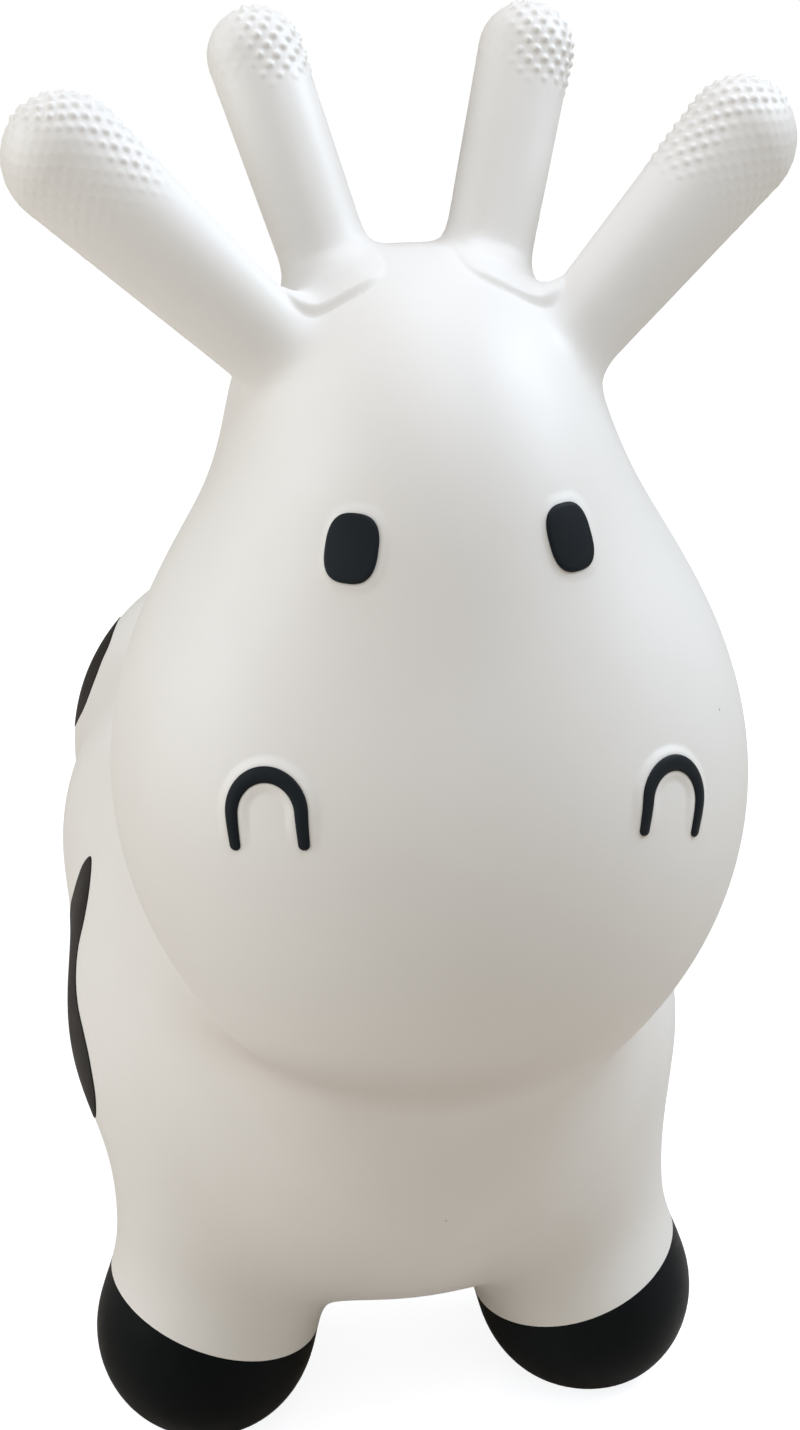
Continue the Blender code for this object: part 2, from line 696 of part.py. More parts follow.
def nostril_outline(x, y):
    """Upside-down U: a leg, a half circle and a leg, widest at the crown."""
    arc = pi * NOSTRIL_ARCH_RADIUS
    total = arc + 2 * NOSTRIL_LEG
    s = x * total
    turn = np.clip((s - NOSTRIL_LEG) / arc, 0, 1) * pi
    drop = np.maximum(NOSTRIL_LEG - s, 0) + np.maximum(s - NOSTRIL_LEG - arc, 0)
    width = NOSTRIL_END_WIDTH + (NOSTRIL_CROWN_WIDTH - NOSTRIL_END_WIDTH) * np.sin(pi * x)
    radius = NOSTRIL_ARCH_RADIUS + y * width / 2
    return -radius * np.cos(turn), radius * np.sin(turn) - drop


def patch_outline(half_length, half_height, tilt, wave_shares):
    """Soft blot: an oval whose edge swells and draws in with its angle."""
    def outline(x, y):
        angle = np.arctan2(y, x)
        share = np.hypot(x, y)
        for order, (size, phase) in enumerate(wave_shares, start=2):
            share = share * (1 + size * np.cos(order * angle + phase))
        a = share * half_length * np.cos(angle)
        b = share * half_height * np.sin(angle)
        return a * cos(tilt) - b * sin(tilt), a * sin(tilt) + b * cos(tilt)
    return outline


for side, hand in ((1, "left"), (-1, "right")):
    on_skin(f"{hand}_eye", coin(EYE_RINGS, EYE_SEGMENTS, EYE_EDGE_SHARE),
            mirrored(EYE_CENTRE, side), eye_outline, RELIEF_GAP, RELIEF_HEIGHT, black_vinyl)
    on_skin(f"{hand}_nostril", bar(NOSTRIL_STATIONS, NOSTRIL_END_SHARE),
            mirrored(NOSTRIL_CENTRE, side), nostril_outline, RELIEF_GAP, RELIEF_HEIGHT,
            black_vinyl)

# Coat patches: name, middle, half sizes, tilt and the wave shares of the edge
PATCHES = (
    ("right_shoulder_patch", RIGHT_SHOULDER_PATCH, RIGHT_SHOULDER_PATCH_HALVES, radians(-32),
     ((0.14, 0.4), (0.10, 1.9))),
    ("right_hip_patch", RIGHT_HIP_PATCH, RIGHT_HIP_PATCH_HALVES, radians(10),
     ((0.12, 2.2), (0.14, 0.3))),
    ("left_shoulder_patch", LEFT_SHOULDER_PATCH, LEFT_SHOULDER_PATCH_HALVES, radians(24),
     ((0.14, 1.2), (0.12, 0.2))),
    ("left_hip_patch", LEFT_HIP_PATCH, LEFT_HIP_PATCH_HALVES, radians(-14),
     ((0.12, 0.2), (0.14, 1.6))),
    ("saddle_patch", SADDLE_PATCH, SADDLE_PATCH_HALVES, radians(35),
     ((0.14, 2.0), (0.10, 0.8))),
)
for name, middle, halves, tilt, wave_shares in PATCHES:
    on_skin(name, coin(PATCH_RINGS, PATCH_SEGMENTS, PATCH_EDGE_SHARE), middle,
            patch_outline(*halves, tilt, wave_shares), FILM_GAP, FILM_THICKNESS, black_vinyl)


def turned(name, section, finish, height):
    """A turned part on the valve's axis, from its section, by a Screw modifier."""
    mesh = bpy.data.meshes.new(name)
    edges = [(i, i + 1) for i in range(len(section) - 1)]
    if section[0][0] > 0:
        edges.append((len(section) - 1, 0))
    mesh.from_pydata([(r, 0, z) for r, z in section], edges, [])
    made = bpy.data.objects.new(name, mesh)
    mesh.materials.append(finish)
    made.location = (0, VALVE_Y, height)
    cow.objects.link(made)
    screw = made.modifiers.new("turned", "SCREW")
    screw.axis = "Z"
    screw.steps = TURNED_STEPS
    screw.render_steps = TURNED_STEPS
    screw.use_merge_vertices = True
    screw.merge_threshold = MERGE_GAP
    screw.use_smooth_shade = True
    return made


# Valve seat: a sleeve through the skin with a flange behind it
sleeve_top = VALVE_SLEEVE_LENGTH
flange_low = WALL + VALVE_FLANGE_CLEARANCE
seat_section = [
    (VALVE_BORE_RADIUS, sleeve_top),
    (VALVE_SLEEVE_RADIUS - WALL / 3, sleeve_top),
    (VALVE_SLEEVE_RADIUS, sleeve_top - WALL / 3),
    (VALVE_SLEEVE_RADIUS, flange_low + VALVE_FLANGE_THICKNESS),
    (VALVE_FLANGE_RADIUS, flange_low + VALVE_FLANGE_THICKNESS),
    (VALVE_FLANGE_RADIUS, flange_low),
    (VALVE_SLEEVE_RADIUS, flange_low),
    (VALVE_SLEEVE_RADIUS, 0.0),
    (VALVE_BORE_RADIUS, 0.0),
]
turned("valve_seat", seat_section, white_vinyl, BELLY_Z)

# Plug: ribbed pin, cap under the skin and a tab to pull it by
plug_top = PLUG_RIBS * PLUG_RIB_PITCH
cap_top = -FIT_GAP
plug_section = [(0.0, plug_top), (PLUG_TIP_RADIUS, plug_top)]
for i in range(PLUG_RIBS):
    rib_top = plug_top - i * PLUG_RIB_PITCH
    plug_section.append((PLUG_RIB_RADIUS, rib_top - PLUG_RIB_PITCH / 2))
    plug_section.append((PLUG_NECK_RADIUS, rib_top - PLUG_RIB_PITCH * PLUG_BARB_SHARE))
plug_section += [
    (PLUG_NECK_RADIUS, cap_top),
    (PLUG_CAP_RADIUS, cap_top),
    (PLUG_CAP_RADIUS, cap_top - PLUG_CAP_THICKNESS / 2),
    (PLUG_CAP_RADIUS - PLUG_CAP_THICKNESS / 2, cap_top - PLUG_CAP_THICKNESS),
    (0.0, cap_top - PLUG_CAP_THICKNESS),
]
plug = turned("valve_plug", plug_section, plug_plastic, BELLY_Z)

tab = bmesh.new()
tab_size = (PLUG_TAB_THICKNESS, PLUG_TAB_WIDTH, PLUG_TAB_HEIGHT + PLUG_CAP_THICKNESS / 2)
tab_top = BELLY_Z + cap_top - PLUG_CAP_THICKNESS / 2
tab_place = Matrix.Translation((0, VALVE_Y, tab_top - tab_size[2] / 2))
bmesh.ops.create_cube(tab, size=1,
                      matrix=tab_place @ Matrix.Diagonal((*tab_size, 1)))
bmesh.ops.bevel(tab, geom=[e for e in tab.edges if e.calc_length() < 2 * PLUG_TAB_THICKNESS],
                offset=PLUG_TAB_THICKNESS, segments=2, profile=0.5, affect="EDGES")
tab_mesh = bpy.data.meshes.new("plug_tab")
tab.to_mesh(tab_mesh)
tab_cutter = bpy.data.objects.new("plug_tab", tab_mesh)
cutters.objects.link(tab_cutter)
tab_cutter.hide_render = True
tab_cutter.display_type = "WIRE"
with_tab = plug.modifiers.new("with_tab", "BOOLEAN")
with_tab.operation = "UNION"
with_tab.solver = "EXACT"
with_tab.object = tab_cutter


# Tail: a strap down the middle of the rump, which widens to a tuft
def tail_outline(x, y):
    """From the tail's top down: even width, then a soft swell to the tuft's width."""
    swell = (x - TAIL_TUFT_START_SHARE) / (TAIL_TUFT_FULL_SHARE - TAIL_TUFT_START_SHARE)
    swell = np.clip(swell, 0, 1)
    width = TAIL_WIDTH + (TAIL_TUFT_WIDTH - TAIL_WIDTH) * swell**2 * (3 - 2 * swell)
    return y * width / 2, (1 / 2 - x) * TAIL_LENGTH


on_skin("tail", bar(TAIL_STATIONS, TAIL_END_SHARE), TAIL_MIDDLE, tail_outline, RELIEF_GAP,
        TAIL_HEIGHT, white_vinyl)
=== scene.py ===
"""Bouncy cow to ride on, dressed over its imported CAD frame.

Metres, +Z up, nose towards -Y, the animal's own left side towards +X. The sections follow the
toy as it is put together: skin, legs and hooves, ears and horns, face, coat, tail, valve, and
then the floor, the lamps and the camera.
"""
import bpy
import bmesh
import numpy as np
from math import cos, sin, pi, radians
from mathutils import Matrix, Vector


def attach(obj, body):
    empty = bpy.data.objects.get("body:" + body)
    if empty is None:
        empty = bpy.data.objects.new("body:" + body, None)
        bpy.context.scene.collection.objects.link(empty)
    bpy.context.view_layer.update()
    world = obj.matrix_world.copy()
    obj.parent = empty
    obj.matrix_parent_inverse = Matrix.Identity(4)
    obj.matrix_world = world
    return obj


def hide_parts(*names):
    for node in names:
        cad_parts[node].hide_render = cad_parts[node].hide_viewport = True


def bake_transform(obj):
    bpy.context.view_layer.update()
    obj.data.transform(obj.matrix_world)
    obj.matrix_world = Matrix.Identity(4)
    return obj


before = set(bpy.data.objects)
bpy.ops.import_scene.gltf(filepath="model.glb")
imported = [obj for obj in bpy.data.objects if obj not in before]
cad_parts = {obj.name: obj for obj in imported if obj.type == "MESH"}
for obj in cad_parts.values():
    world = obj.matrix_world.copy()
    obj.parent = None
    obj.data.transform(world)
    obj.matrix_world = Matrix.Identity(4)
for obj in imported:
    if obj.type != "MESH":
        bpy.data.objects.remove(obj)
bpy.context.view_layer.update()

# Skin of the trunk and the head
# One moulding of soft white vinyl, swollen by air. Its shape is one distance formula: ellipsoids
# and tapered limbs joined by soft fillets. A voxel hull of the rough bodies is moved onto it.
CHEST = ((0.0, -0.065, 0.143), (0.124, 0.098, 0.084))
BRISKET = ((0.0, -0.113, 0.103), (0.084, 0.052, 0.046))
SWELL = ((0.0, -0.136, 0.178), (0.088, 0.090, 0.110), radians(30))
BELLY = ((0.0, 0.042, 0.174), (0.1225, 0.170, 0.096))
RUMP = ((0.0, 0.182, 0.168), (0.110, 0.100, 0.096))
NECK = ((0.0, -0.043, 0.195), (0.0, -0.128, 0.400), 0.0870, 0.0545)
MUZZLE = ((0.0, -0.189, 0.308), (0.108, 0.091, 0.115), radians(-30))
BROW = ((0.0, -0.1755, 0.386), (0.0622, 0.072, 0.083))
CROWN = ((0.0, -0.1505, 0.4315), (0.0545, 0.050, 0.042))
LEG_RADII = (0.049, 0.039)
HOOF_RADII = (0.043, 0.046, 0.0415)
TRUNK_FILLET, BRISKET_FILLET, SWELL_FILLET, NECK_FILLET = 0.060, 0.040, 0.066, 0.070
LEG_FILLET, HOOF_FILLET, SOLE_FILLET = 0.040, 0.020, 0.008
BROW_FILLET, CROWN_FILLET, HEAD_FILLET, GRIP_FILLET = 0.060, 0.040, 0.030, 0.012
GRIP_DEPTH, STUB_LENGTH = 0.025, 0.010
SKIN_CELL = 0.0032


def unit(vector):
    """The vector at length one."""
    return vector / np.linalg.norm(vector)


def smooth(t):
    """Soft step: 3t^2 - 2t^3 between zero and one, flat outside them."""
    t = np.clip(t, 0, 1)
    return t * t * (3 - 2 * t)


FOOT_X = 0.0795
HIP_INWARDS, HIP_HEIGHT = 0.0235, 0.130
ANKLE_INWARDS, ANKLE_HEIGHT = 0.002, 0.040
HOOF_FORWARDS, HOOF_HEIGHT = 0.003, 0.0325


def leg_of(foot_x, foot_y, shift):
    """Hip, ankle and hoof centres of a leg on the animal's left."""
    return ((foot_x - HIP_INWARDS, foot_y + shift, HIP_HEIGHT),
            (foot_x - ANKLE_INWARDS, foot_y, ANKLE_HEIGHT),
            (foot_x, foot_y - HOOF_FORWARDS, HOOF_HEIGHT))


LEGS = {"front": leg_of(FOOT_X, -0.114, 0.015), "rear": leg_of(0.0750, 0.217, -0.015)}


class Grip:
    """An ear or a horn: a limb from inside the head to its tip, on its own axis.

    A station is a distance past its root, such as where it is cut from the head's skin, where
    the stub that stays on the head ends, and where its cuff ends.
    """

    def __init__(self, root, tip, root_radius, tip_radius, flatness, cut, cuff_end):
        self.root, self.tip = np.array(root), np.array(tip)
        self.reach = np.linalg.norm(self.tip - self.root)
        self.axis = (self.tip - self.root) / self.reach
        self.inner = self.at(-GRIP_DEPTH)
        self.radii = (root_radius, tip_radius)
        self.flatness = flatness
        self.cut, self.stub, self.cuff_end = cut, cut + STUB_LENGTH, cuff_end

    def at(self, station):
        """The axis point this far past the root."""
        return self.root + station * self.axis

    def radius(self, station):
        """Radius there, which changes evenly from the root to the tip."""
        return self.radii[0] + (self.radii[1] - self.radii[0]) * station / self.reach


EAR = Grip((0.0525, -0.1765, 0.4535), (0.110, -0.1515, 0.5065), 0.0158, 0.0209, 0.80, 0.016, 0.036)
HORN = Grip((0.0304, -0.1392, 0.4822), (0.0455, -0.116, 0.533), 0.0149, 0.0157, 1.0, 0.009, 0.026)


def ellipsoid(p, centre, radii, pitch=0.0):
    """Distance to an ellipsoid pitched about X: k(k - 1) / |grad k|, k being the scaled radius."""
    q = p - np.array(centre)
    y = cos(pitch) * q[:, 1] + sin(pitch) * q[:, 2]
    z = cos(pitch) * q[:, 2] - sin(pitch) * q[:, 1]
    q = np.stack([q[:, 0], y, z], axis=1) / np.array(radii)
    near = np.maximum(np.linalg.norm(q, axis=1), 1e-6)
    return near * (near - 1) / np.maximum(np.linalg.norm(q / np.array(radii), axis=1), 1e-5)


def limb(p, start, end, start_radius, end_radius, flatness=1.0):
    """Distance to a limb pressed flat by a share: a row of balls whose radii change evenly.

    The nearest ball sits at s + w m / (1 - m^2)^(1/2) along the axis, s and w being the point's
    place along and off it and m the radius's slope.
    """
    start, end = np.array(start), np.array(end)
    axis, length = unit(end - start), np.linalg.norm(end - start)
    slope = (end_radius - start_radius) / length
    along = (p - start) @ axis
    off = np.linalg.norm(p - start - along[:, None] * axis, axis=1)
    t = np.clip((along + off * slope / (1 - slope**2)**0.5) / length, 0, 1)
    away = p - start - t[:, None] * length * axis
    upright = unit(np.array((0, 0, 1)) - axis[2] * axis)
    thin = away @ np.cross(axis, upright)
    spread = np.sqrt((away**2).sum(axis=1) + thin**2 * (1 / flatness**2 - 1))
    return (spread - start_radius - (end_radius - start_radius) * t) * (1 + flatness) / 2


def joined(a, b, fillet):
    """Union of two distances, lowered by a soft cubic fillet where they are nearly equal."""
    overlap = np.maximum(fillet - np.abs(a - b), 0) / fillet
    return np.minimum(a, b) - overlap**3 * fillet / 6


def on_left(points):
    """The points mirrored onto the animal's left side."""
    return np.stack([np.abs(points[:, 0]), points[:, 1], points[:, 2]], axis=1)


def plain_form(points, stubs=False):
    """Distance to the animal without its reliefs; with stubs, ears and horns end early."""
    p = on_left(points)
    d = joined(ellipsoid(p, *CHEST), ellipsoid(p, *BELLY), TRUNK_FILLET)
    d = joined(d, ellipsoid(p, *RUMP), TRUNK_FILLET)
    d = joined(d, ellipsoid(p, *BRISKET), BRISKET_FILLET)
    d = joined(d, limb(p, *NECK), NECK_FILLET)
    for hip, ankle, hoof in LEGS.values():
        d = joined(d, limb(p, hip, ankle, *LEG_RADII), LEG_FILLET)
        d = joined(d, ellipsoid(p, hoof, HOOF_RADII), HOOF_FILLET)
    head = joined(ellipsoid(p, *MUZZLE), ellipsoid(p, *BROW), BROW_FILLET)
    head = joined(head, ellipsoid(p, *CROWN), CROWN_FILLET)
    d = joined(d, head, HEAD_FILLET)
    d = joined(d, ellipsoid(p, *SWELL), SWELL_FILLET)
    for grip in (EAR, HORN):
        station = grip.stub if stubs else grip.reach
        d = joined(d, limb(p, grip.inner, grip.at(station), grip.radius(-GRIP_DEPTH),
                           grip.radius(station), grip.flatness), GRIP_FILLET)
    return -joined(-d, p[:, 2], SOLE_FILLET)


def steepest(points, shape, step=0.0003):
    """Gradient of a distance, by central differences."""
    slope = np.zeros_like(points)
    for i in range(3):
        shift = np.zeros(3)
        shift[i] = step
        slope[:, i] = (shape(points + shift) - shape(points - shift)) / (2 * step)
    return slope


def settle(points, shape, rounds=4, step=0.0002):
    """Newton's steps onto the zero of a distance, by forward differences over a small step."""
    for _ in range(rounds):
        here = shape(points)
        slope = np.stack([shape(points + step * way) - here for way in np.eye(3)], axis=1) / step
        size = np.maximum((slope**2).sum(axis=1), 0.05)
        points = points - (here / size)[:, None] * slope
    return points


def tangent_frame(centre):
    """The settled centre, and the directions out of, across and up the skin there."""
    base = settle(np.array([centre], dtype=float), plain_form)
    out = unit(steepest(base, plain_form)[0])
    across = unit(np.cross((0, 0, 1), out))
    return base[0], out, across, np.cross(out, across)


# Reliefs of the head. The pairs with an edge's name are its limit and the width of its slope.
EYE = tangent_frame((0.0336, -0.241, 0.403))
EYE_HALVES, EYE_POWER = (0.0086, 0.0107), 2.7
EYE_SWELL, EYE_RIM, EYE_DEEP = 0.0004, (1.35, 0.35), 0.02
NOSTRIL = tangent_frame((0.0634, -0.2615, 0.3255))
NOSTRIL_ARCH, NOSTRIL_LEG, SWELL_LEG = 0.0118, 0.0116, 0.0076
NOSTRIL_PLACES = {1: (-0.0014, -0.0040, radians(18)), -1: (0.0015, 0.0012, radians(10))}
NOSTRIL_SWELL, NOSTRIL_RIM, NOSTRIL_DEEP = 0.0009, (0.0062, 0.0034), 0.03
NOSTRIL_FOOT = (-0.013, 0.013)
PAD_CENTRE, PAD_HALVES, PAD_POWER = (0.0295, -0.1650), (0.0172, 0.0205), 3.5
PAD_HEIGHT, PAD_RIM, PAD_SLANT = 0.0020, (1.05, 0.12), 0.35
PAD_TOP, PAD_FOOT, PAD_BACK = (0.48805, 0.0045), (0.440, 0.008), (-0.150, 0.022)
PAD_INNER, PAD_OUTER = (0.0100, 0.0100), (0.0485, 0.0100)
CHIN_COURSE, CHIN_SPAN = (41.37, 1.79, 0.133, 0.2247), (-0.10, 0.07)
CHIN_DEPTH, CHIN_ABOVE, CHIN_BELOW = 0.0020, 0.016, 0.012
CHIN_LEFT, CHIN_RIGHT, CHIN_BACK = (0.050, 0.060), (-0.105, 0.040), (-0.110, 0.040)


def above(edge, value):
    """Soft step up where a value passes an edge."""
    return smooth((value - edge[0]) / edge[1])


def below(edge, value):
    """Soft step down where a value comes up to an edge."""
    return smooth((edge[0] - value) / edge[1])


def share_out(a, b, halves, power):
    """Share of the way out of a superellipse: (|a / half|^n + |b / half|^n)^(1 / n)."""
    return (np.abs(a / halves[0])**power + np.abs(b / halves[1])**power)**(1 / power)


def in_pad(p):
    """Share of the way out of a horn's pad, seen from above."""
    return share_out(np.abs(p[:, 0]) - PAD_CENTRE[0], p[:, 1] - PAD_CENTRE[1], PAD_HALVES,
                     PAD_POWER)


def seen_from(spot, points):
    """Places of points across, up and out of the skin at a spot."""
    centre, out, across, up = spot
    return (points - centre) @ across, (points - centre) @ up, (points - centre) @ out


def chin_fold(p):
    """Depth of the crease under the chin: exp(-(s / width)^2), s being the height over its course.

    The course is a cubic of x; the fold is wider above it than below and fades at both ends.
    """
    x = p[:, 0]
    over = p[:, 2] - np.polyval(CHIN_COURSE, np.clip(x, *CHIN_SPAN))
    depth = CHIN_DEPTH * np.exp(-(over / np.where(over > 0, CHIN_ABOVE, CHIN_BELOW))**2)
    return depth * below(CHIN_LEFT, x) * above(CHIN_RIGHT, x) * below(CHIN_BACK, p[:, 1])


def relief(p):
    """Heights moulded on the head: pads before the horns, swells round eyes and nostrils, and the
    chin's crease.

    Each is its height times a soft step of the distance to the outline over the edge's width.
    """
    q = on_left(p)
    x, y, z = q.T
    pad = PAD_HEIGHT * below(PAD_RIM, in_pad(p)) * below(PAD_TOP, z + PAD_SLANT * x)
    pad = pad * below(PAD_BACK, y) * above(PAD_FOOT, z) * above(PAD_INNER, x) * below(PAD_OUTER, x)
    a, b, c = seen_from(EYE, q)
    eye = EYE_SWELL * below(EYE_RIM, share_out(a, b, EYE_HALVES, EYE_POWER))
    eye = eye * (np.abs(c) < EYE_DEEP)
    left = (p[:, 0] > 0)[:, None]
    shift_out, shift_up, tilt = np.where(left, NOSTRIL_PLACES[1], NOSTRIL_PLACES[-1]).T
    a, b, c = seen_from(NOSTRIL, q)
    a, b = a - shift_out, b - shift_up
    a, b = a * np.cos(tilt) - b * np.sin(tilt), b * np.cos(tilt) + a * np.sin(tilt)
    arch = np.abs(np.hypot(a, b) - NOSTRIL_ARCH)
    leg = np.hypot(np.abs(a) - NOSTRIL_ARCH, np.maximum(-b - SWELL_LEG, 0))
    nostril = NOSTRIL_SWELL * below(NOSTRIL_RIM, np.where(b > 0, arch, leg))
    nostril = nostril * (np.abs(c) < NOSTRIL_DEEP) * above(NOSTRIL_FOOT, b)
    return pad + eye + nostril - chin_fold(p)


def form(points):
    """Distance to the animal with its reliefs."""
    return plain_form(points) - relief(points)


def stubbed_form(points):
    """The same, with ears and horns as stubs."""
    return plain_form(points, True) - relief(points)


def placed(name, data):
    """An object that shows a mesh, a lamp or a lens, put into the scene."""
    made = bpy.data.objects.new(name, data)
    bpy.context.scene.collection.objects.link(made)
    return made


def opened(mesh):
    """A mesh as a bmesh, to be cut or mended."""
    bm = bmesh.new()
    bm.from_mesh(mesh)
    return bm


def closed(name, bm):
    """A bmesh as an object in the scene."""
    mesh = bpy.data.meshes.new(name)
    bm.to_mesh(mesh)
    return placed(name, mesh)


def shell(name, points, faces):
    """An object from whole arrays of points and faces, its faces turned outwards."""
    mesh = bpy.data.meshes.new(name)
    mesh.from_pydata(points.tolist(), [], faces)
    bm = opened(mesh)
    bmesh.ops.recalc_face_normals(bm, faces=bm.faces)
    bm.to_mesh(mesh)
    return placed(name, mesh)


def points_of(mesh):
    """All points of a mesh as rows."""
    points = np.zeros(len(mesh.vertices) * 3)
    mesh.vertices.foreach_get("co", points)
    return points.reshape(-1, 3)


def keep_rest(mesh):
    """Store where each point rests, so that grain and paint stay on the skin as it bends."""
    points = points_of(mesh)
    rest = mesh.attributes.new("rest", "FLOAT_VECTOR", "POINT")
    rest.data.foreach_set("vector", points.ravel())
    return points


def smooth_shell(name, points, faces):
    """A shell shaded smooth, its resting place kept."""
    made = shell(name, points, faces)
    made.data.shade_smooth()
    keep_rest(made.data)
    return made


CUT_COSINE = 0.75


def true_normals(mesh, points, shape):
    """Shade each corner with the form's own gradient, but cut faces flat.

    A face belongs to a cut where its normal is more than about 40 degrees off the gradient.
    """
    mesh.shade_smooth()
    slope = steepest(points, shape)
    slope = slope / np.maximum(np.linalg.norm(slope, axis=1), 1e-9)[:, None]
    corner = np.zeros(len(mesh.loops), dtype=int)
    mesh.loops.foreach_get("vertex_index", corner)
    sizes = np.zeros(len(mesh.polygons), dtype=int)
    mesh.polygons.foreach_get("loop_total", sizes)
    flat = np.zeros(len(mesh.polygons) * 3)
    mesh.polygons.foreach_get("normal", flat)
    flat = np.repeat(flat.reshape(-1, 3), sizes, axis=0)
    soft = slope[corner]
    cut = (soft * flat).sum(axis=1) < CUT_COSINE
    mesh.normals_split_custom_set(np.where(cut[:, None], flat, soft).tolist())


def ring_faces(rows, columns, first=0):
    """Quads between neighbouring rings, and fans to the first and the last point."""
    row, column = np.meshgrid(np.arange(rows - 1), np.arange(columns), indexing="ij")
    here = 1 + row * columns + column
    beside = 1 + row * columns + (column + 1) % columns
    quads = np.stack([here, beside, beside + columns, here + columns], axis=-1).reshape(-1, 4)
    turn = np.arange(columns)
    last = 1 + (rows - 1) * columns
    top = 1 + rows * columns
    first_fan = np.stack([np.zeros_like(turn), 1 + (turn + 1) % columns, 1 + turn], axis=1)
    last_fan = np.stack([np.full_like(turn, top), last + turn, last + (turn + 1) % columns],
                        axis=1)
    return [(f + first).tolist() for fan in (quads, first_fan, last_fan) for f in fan]


def rough_hull():
    """The swollen bodies as overlapping balls, joined by a voxel remesh.

    A ball is the unit sphere by height and turn, scaled, pitched and moved; a limb is a row of
    balls whose radii change evenly.
    """
    rows, columns, balls_along = 20, 32, 16
    height, turn = np.meshgrid(np.linspace(-pi / 2, pi / 2, rows + 2)[1:-1],
                               np.linspace(0, 2 * pi, columns, endpoint=False), indexing="ij")
    sphere = np.stack([np.cos(height) * np.cos(turn), np.cos(height) * np.sin(turn),
                       np.sin(height)], axis=-1).reshape(-1, 3)
    sphere = np.concatenate([[(0, 0, -1)], sphere, [(0, 0, 1)]])
    balls = [(centre, radii, pitch[0] if pitch else 0.0) for centre, radii, *pitch in
             (CHEST, BRISKET, SWELL, BELLY, RUMP, MUZZLE, BROW, CROWN)]
    limbs = [NECK]
    for side in (1, -1):
        mirror = np.array((side, 1, 1))
        for hip, ankle, hoof in LEGS.values():
            limbs.append((hip * mirror, ankle * mirror, *LEG_RADII))
            balls.append((hoof * mirror, HOOF_RADII, 0.0))
        for grip in (EAR, HORN):
            limbs.append((grip.inner * mirror, grip.at(grip.stub) * mirror,
                          grip.radius(-GRIP_DEPTH), grip.radius(grip.stub)))
    for start, end, start_radius, end_radius in limbs:
        for t in np.linspace(0, 1, balls_along):
            radius = start_radius + (end_radius - start_radius) * t
            balls.append(((1 - t) * np.array(start) + t * np.array(end), (radius,) * 3, 0.0))
    points, faces = [], []
    for number, (centre, radii, pitch) in enumerate(balls):
        x, y, z = (sphere * np.array(radii)).T
        turned = [x, cos(pitch) * y - sin(pitch) * z, sin(pitch) * y + cos(pitch) * z]
        points.append(np.stack(turned, axis=1) + np.array(centre))
        faces += ring_faces(rows, columns, number * len(sphere))
    rough = shell("rough", np.concatenate(points), faces)
    voxels = rough.modifiers.new("voxels", "REMESH")
    voxels.mode = "VOXEL"
    voxels.voxel_size = SKIN_CELL
    return applied(rough)


def applied(made):
    """The mesh an object shows with its modifiers, as a bmesh, and the object taken away."""
    shown = made.evaluated_get(bpy.context.evaluated_depsgraph_get())
    bm = opened(bpy.data.meshes.new_from_object(shown))
    bpy.data.objects.remove(made, do_unlink=True)
    return bm


FINE_RIM, FINE_BACK, FINE_EYE, FINE_NOSTRIL = 0.24, -0.144, 0.018, 0.026


def near_relief(p):
    """True where a relief's edge runs, which asks for a finer mesh."""
    pad = (np.abs(in_pad(p) - 1) < FINE_RIM) & (p[:, 2] > PAD_FOOT[0]) & (p[:, 1] < FINE_BACK)
    eye = np.linalg.norm(on_left(p) - EYE[0], axis=1) < FINE_EYE
    nostril = np.linalg.norm(on_left(p) - NOSTRIL[0], axis=1) < FINE_NOSTRIL
    return pad | eye | nostril


def settled_hull():
    """The hull moved onto the form, evened out, cut finer twice at the reliefs and moved again."""
    bm = rough_hull()
    mesh = bpy.data.meshes.new("whole_skin")
    bm.to_mesh(mesh)
    mesh.vertices.foreach_set("co", settle(points_of(mesh), stubbed_form, 4).ravel())
    bm = opened(mesh)
    bmesh.ops.smooth_vert(bm, verts=bm.verts, factor=0.5, use_axis_x=True, use_axis_y=True,
                          use_axis_z=True)
    bm.to_mesh(mesh)
    for finer in (True, True, False):
        points = settle(points_of(mesh), stubbed_form, 2)
        mesh.vertices.foreach_set("co", points.ravel())
        if finer:
            fine = near_relief(points)
            bm = opened(mesh)
            edges = [e for e in bm.edges if all(fine[v.index] for v in e.verts)]
            bmesh.ops.subdivide_edges(bm, edges=edges, cuts=1, use_grid_fill=True)
            bm.to_mesh(mesh)
    return mesh


def sliced(bm, point, normal, near=None):
    """Keep the normal's side of a plane and close the cut, for all faces or those near it."""
    geometry = [*bm.verts, *bm.edges, *bm.faces]
    if near is not None:
        geometry = [*near, *[e for e in bm.edges if all(v in near for v in e.verts)]]
        geometry += [f for f in bm.faces if all(v in near for v in f.verts)]
    cut = bmesh.ops.bisect_plane(bm, geom=geometry, dist=1e-7, plane_co=point, plane_no=normal,
                                 clear_inner=True)
    rim = [e for e in cut["geom_cut"] if isinstance(e, bmesh.types.BMEdge) and e.is_boundary]
    if rim:
        bmesh.ops.triangle_fill(bm, edges=rim, use_beauty=True, use_dissolve=False)


def line_of_leg(height, slope, side):
    """A plane across both legs of one side, tilted down towards the middle."""
    return Vector((side * FOOT_X, 0, height)), Vector((-side * sin(slope), 0, cos(slope)))


def piece_of_skin(name, cuts):
    """A region of the whole skin, as a closed body of its own with true normals."""
    bm = opened(whole_skin)
    for point, normal in cuts:
        sliced(bm, point, normal)
    bmesh.ops.recalc_face_normals(bm, faces=bm.faces)
    made = closed(name, bm)
    true_normals(made.data, keep_rest(made.data), stubbed_form)
    return made


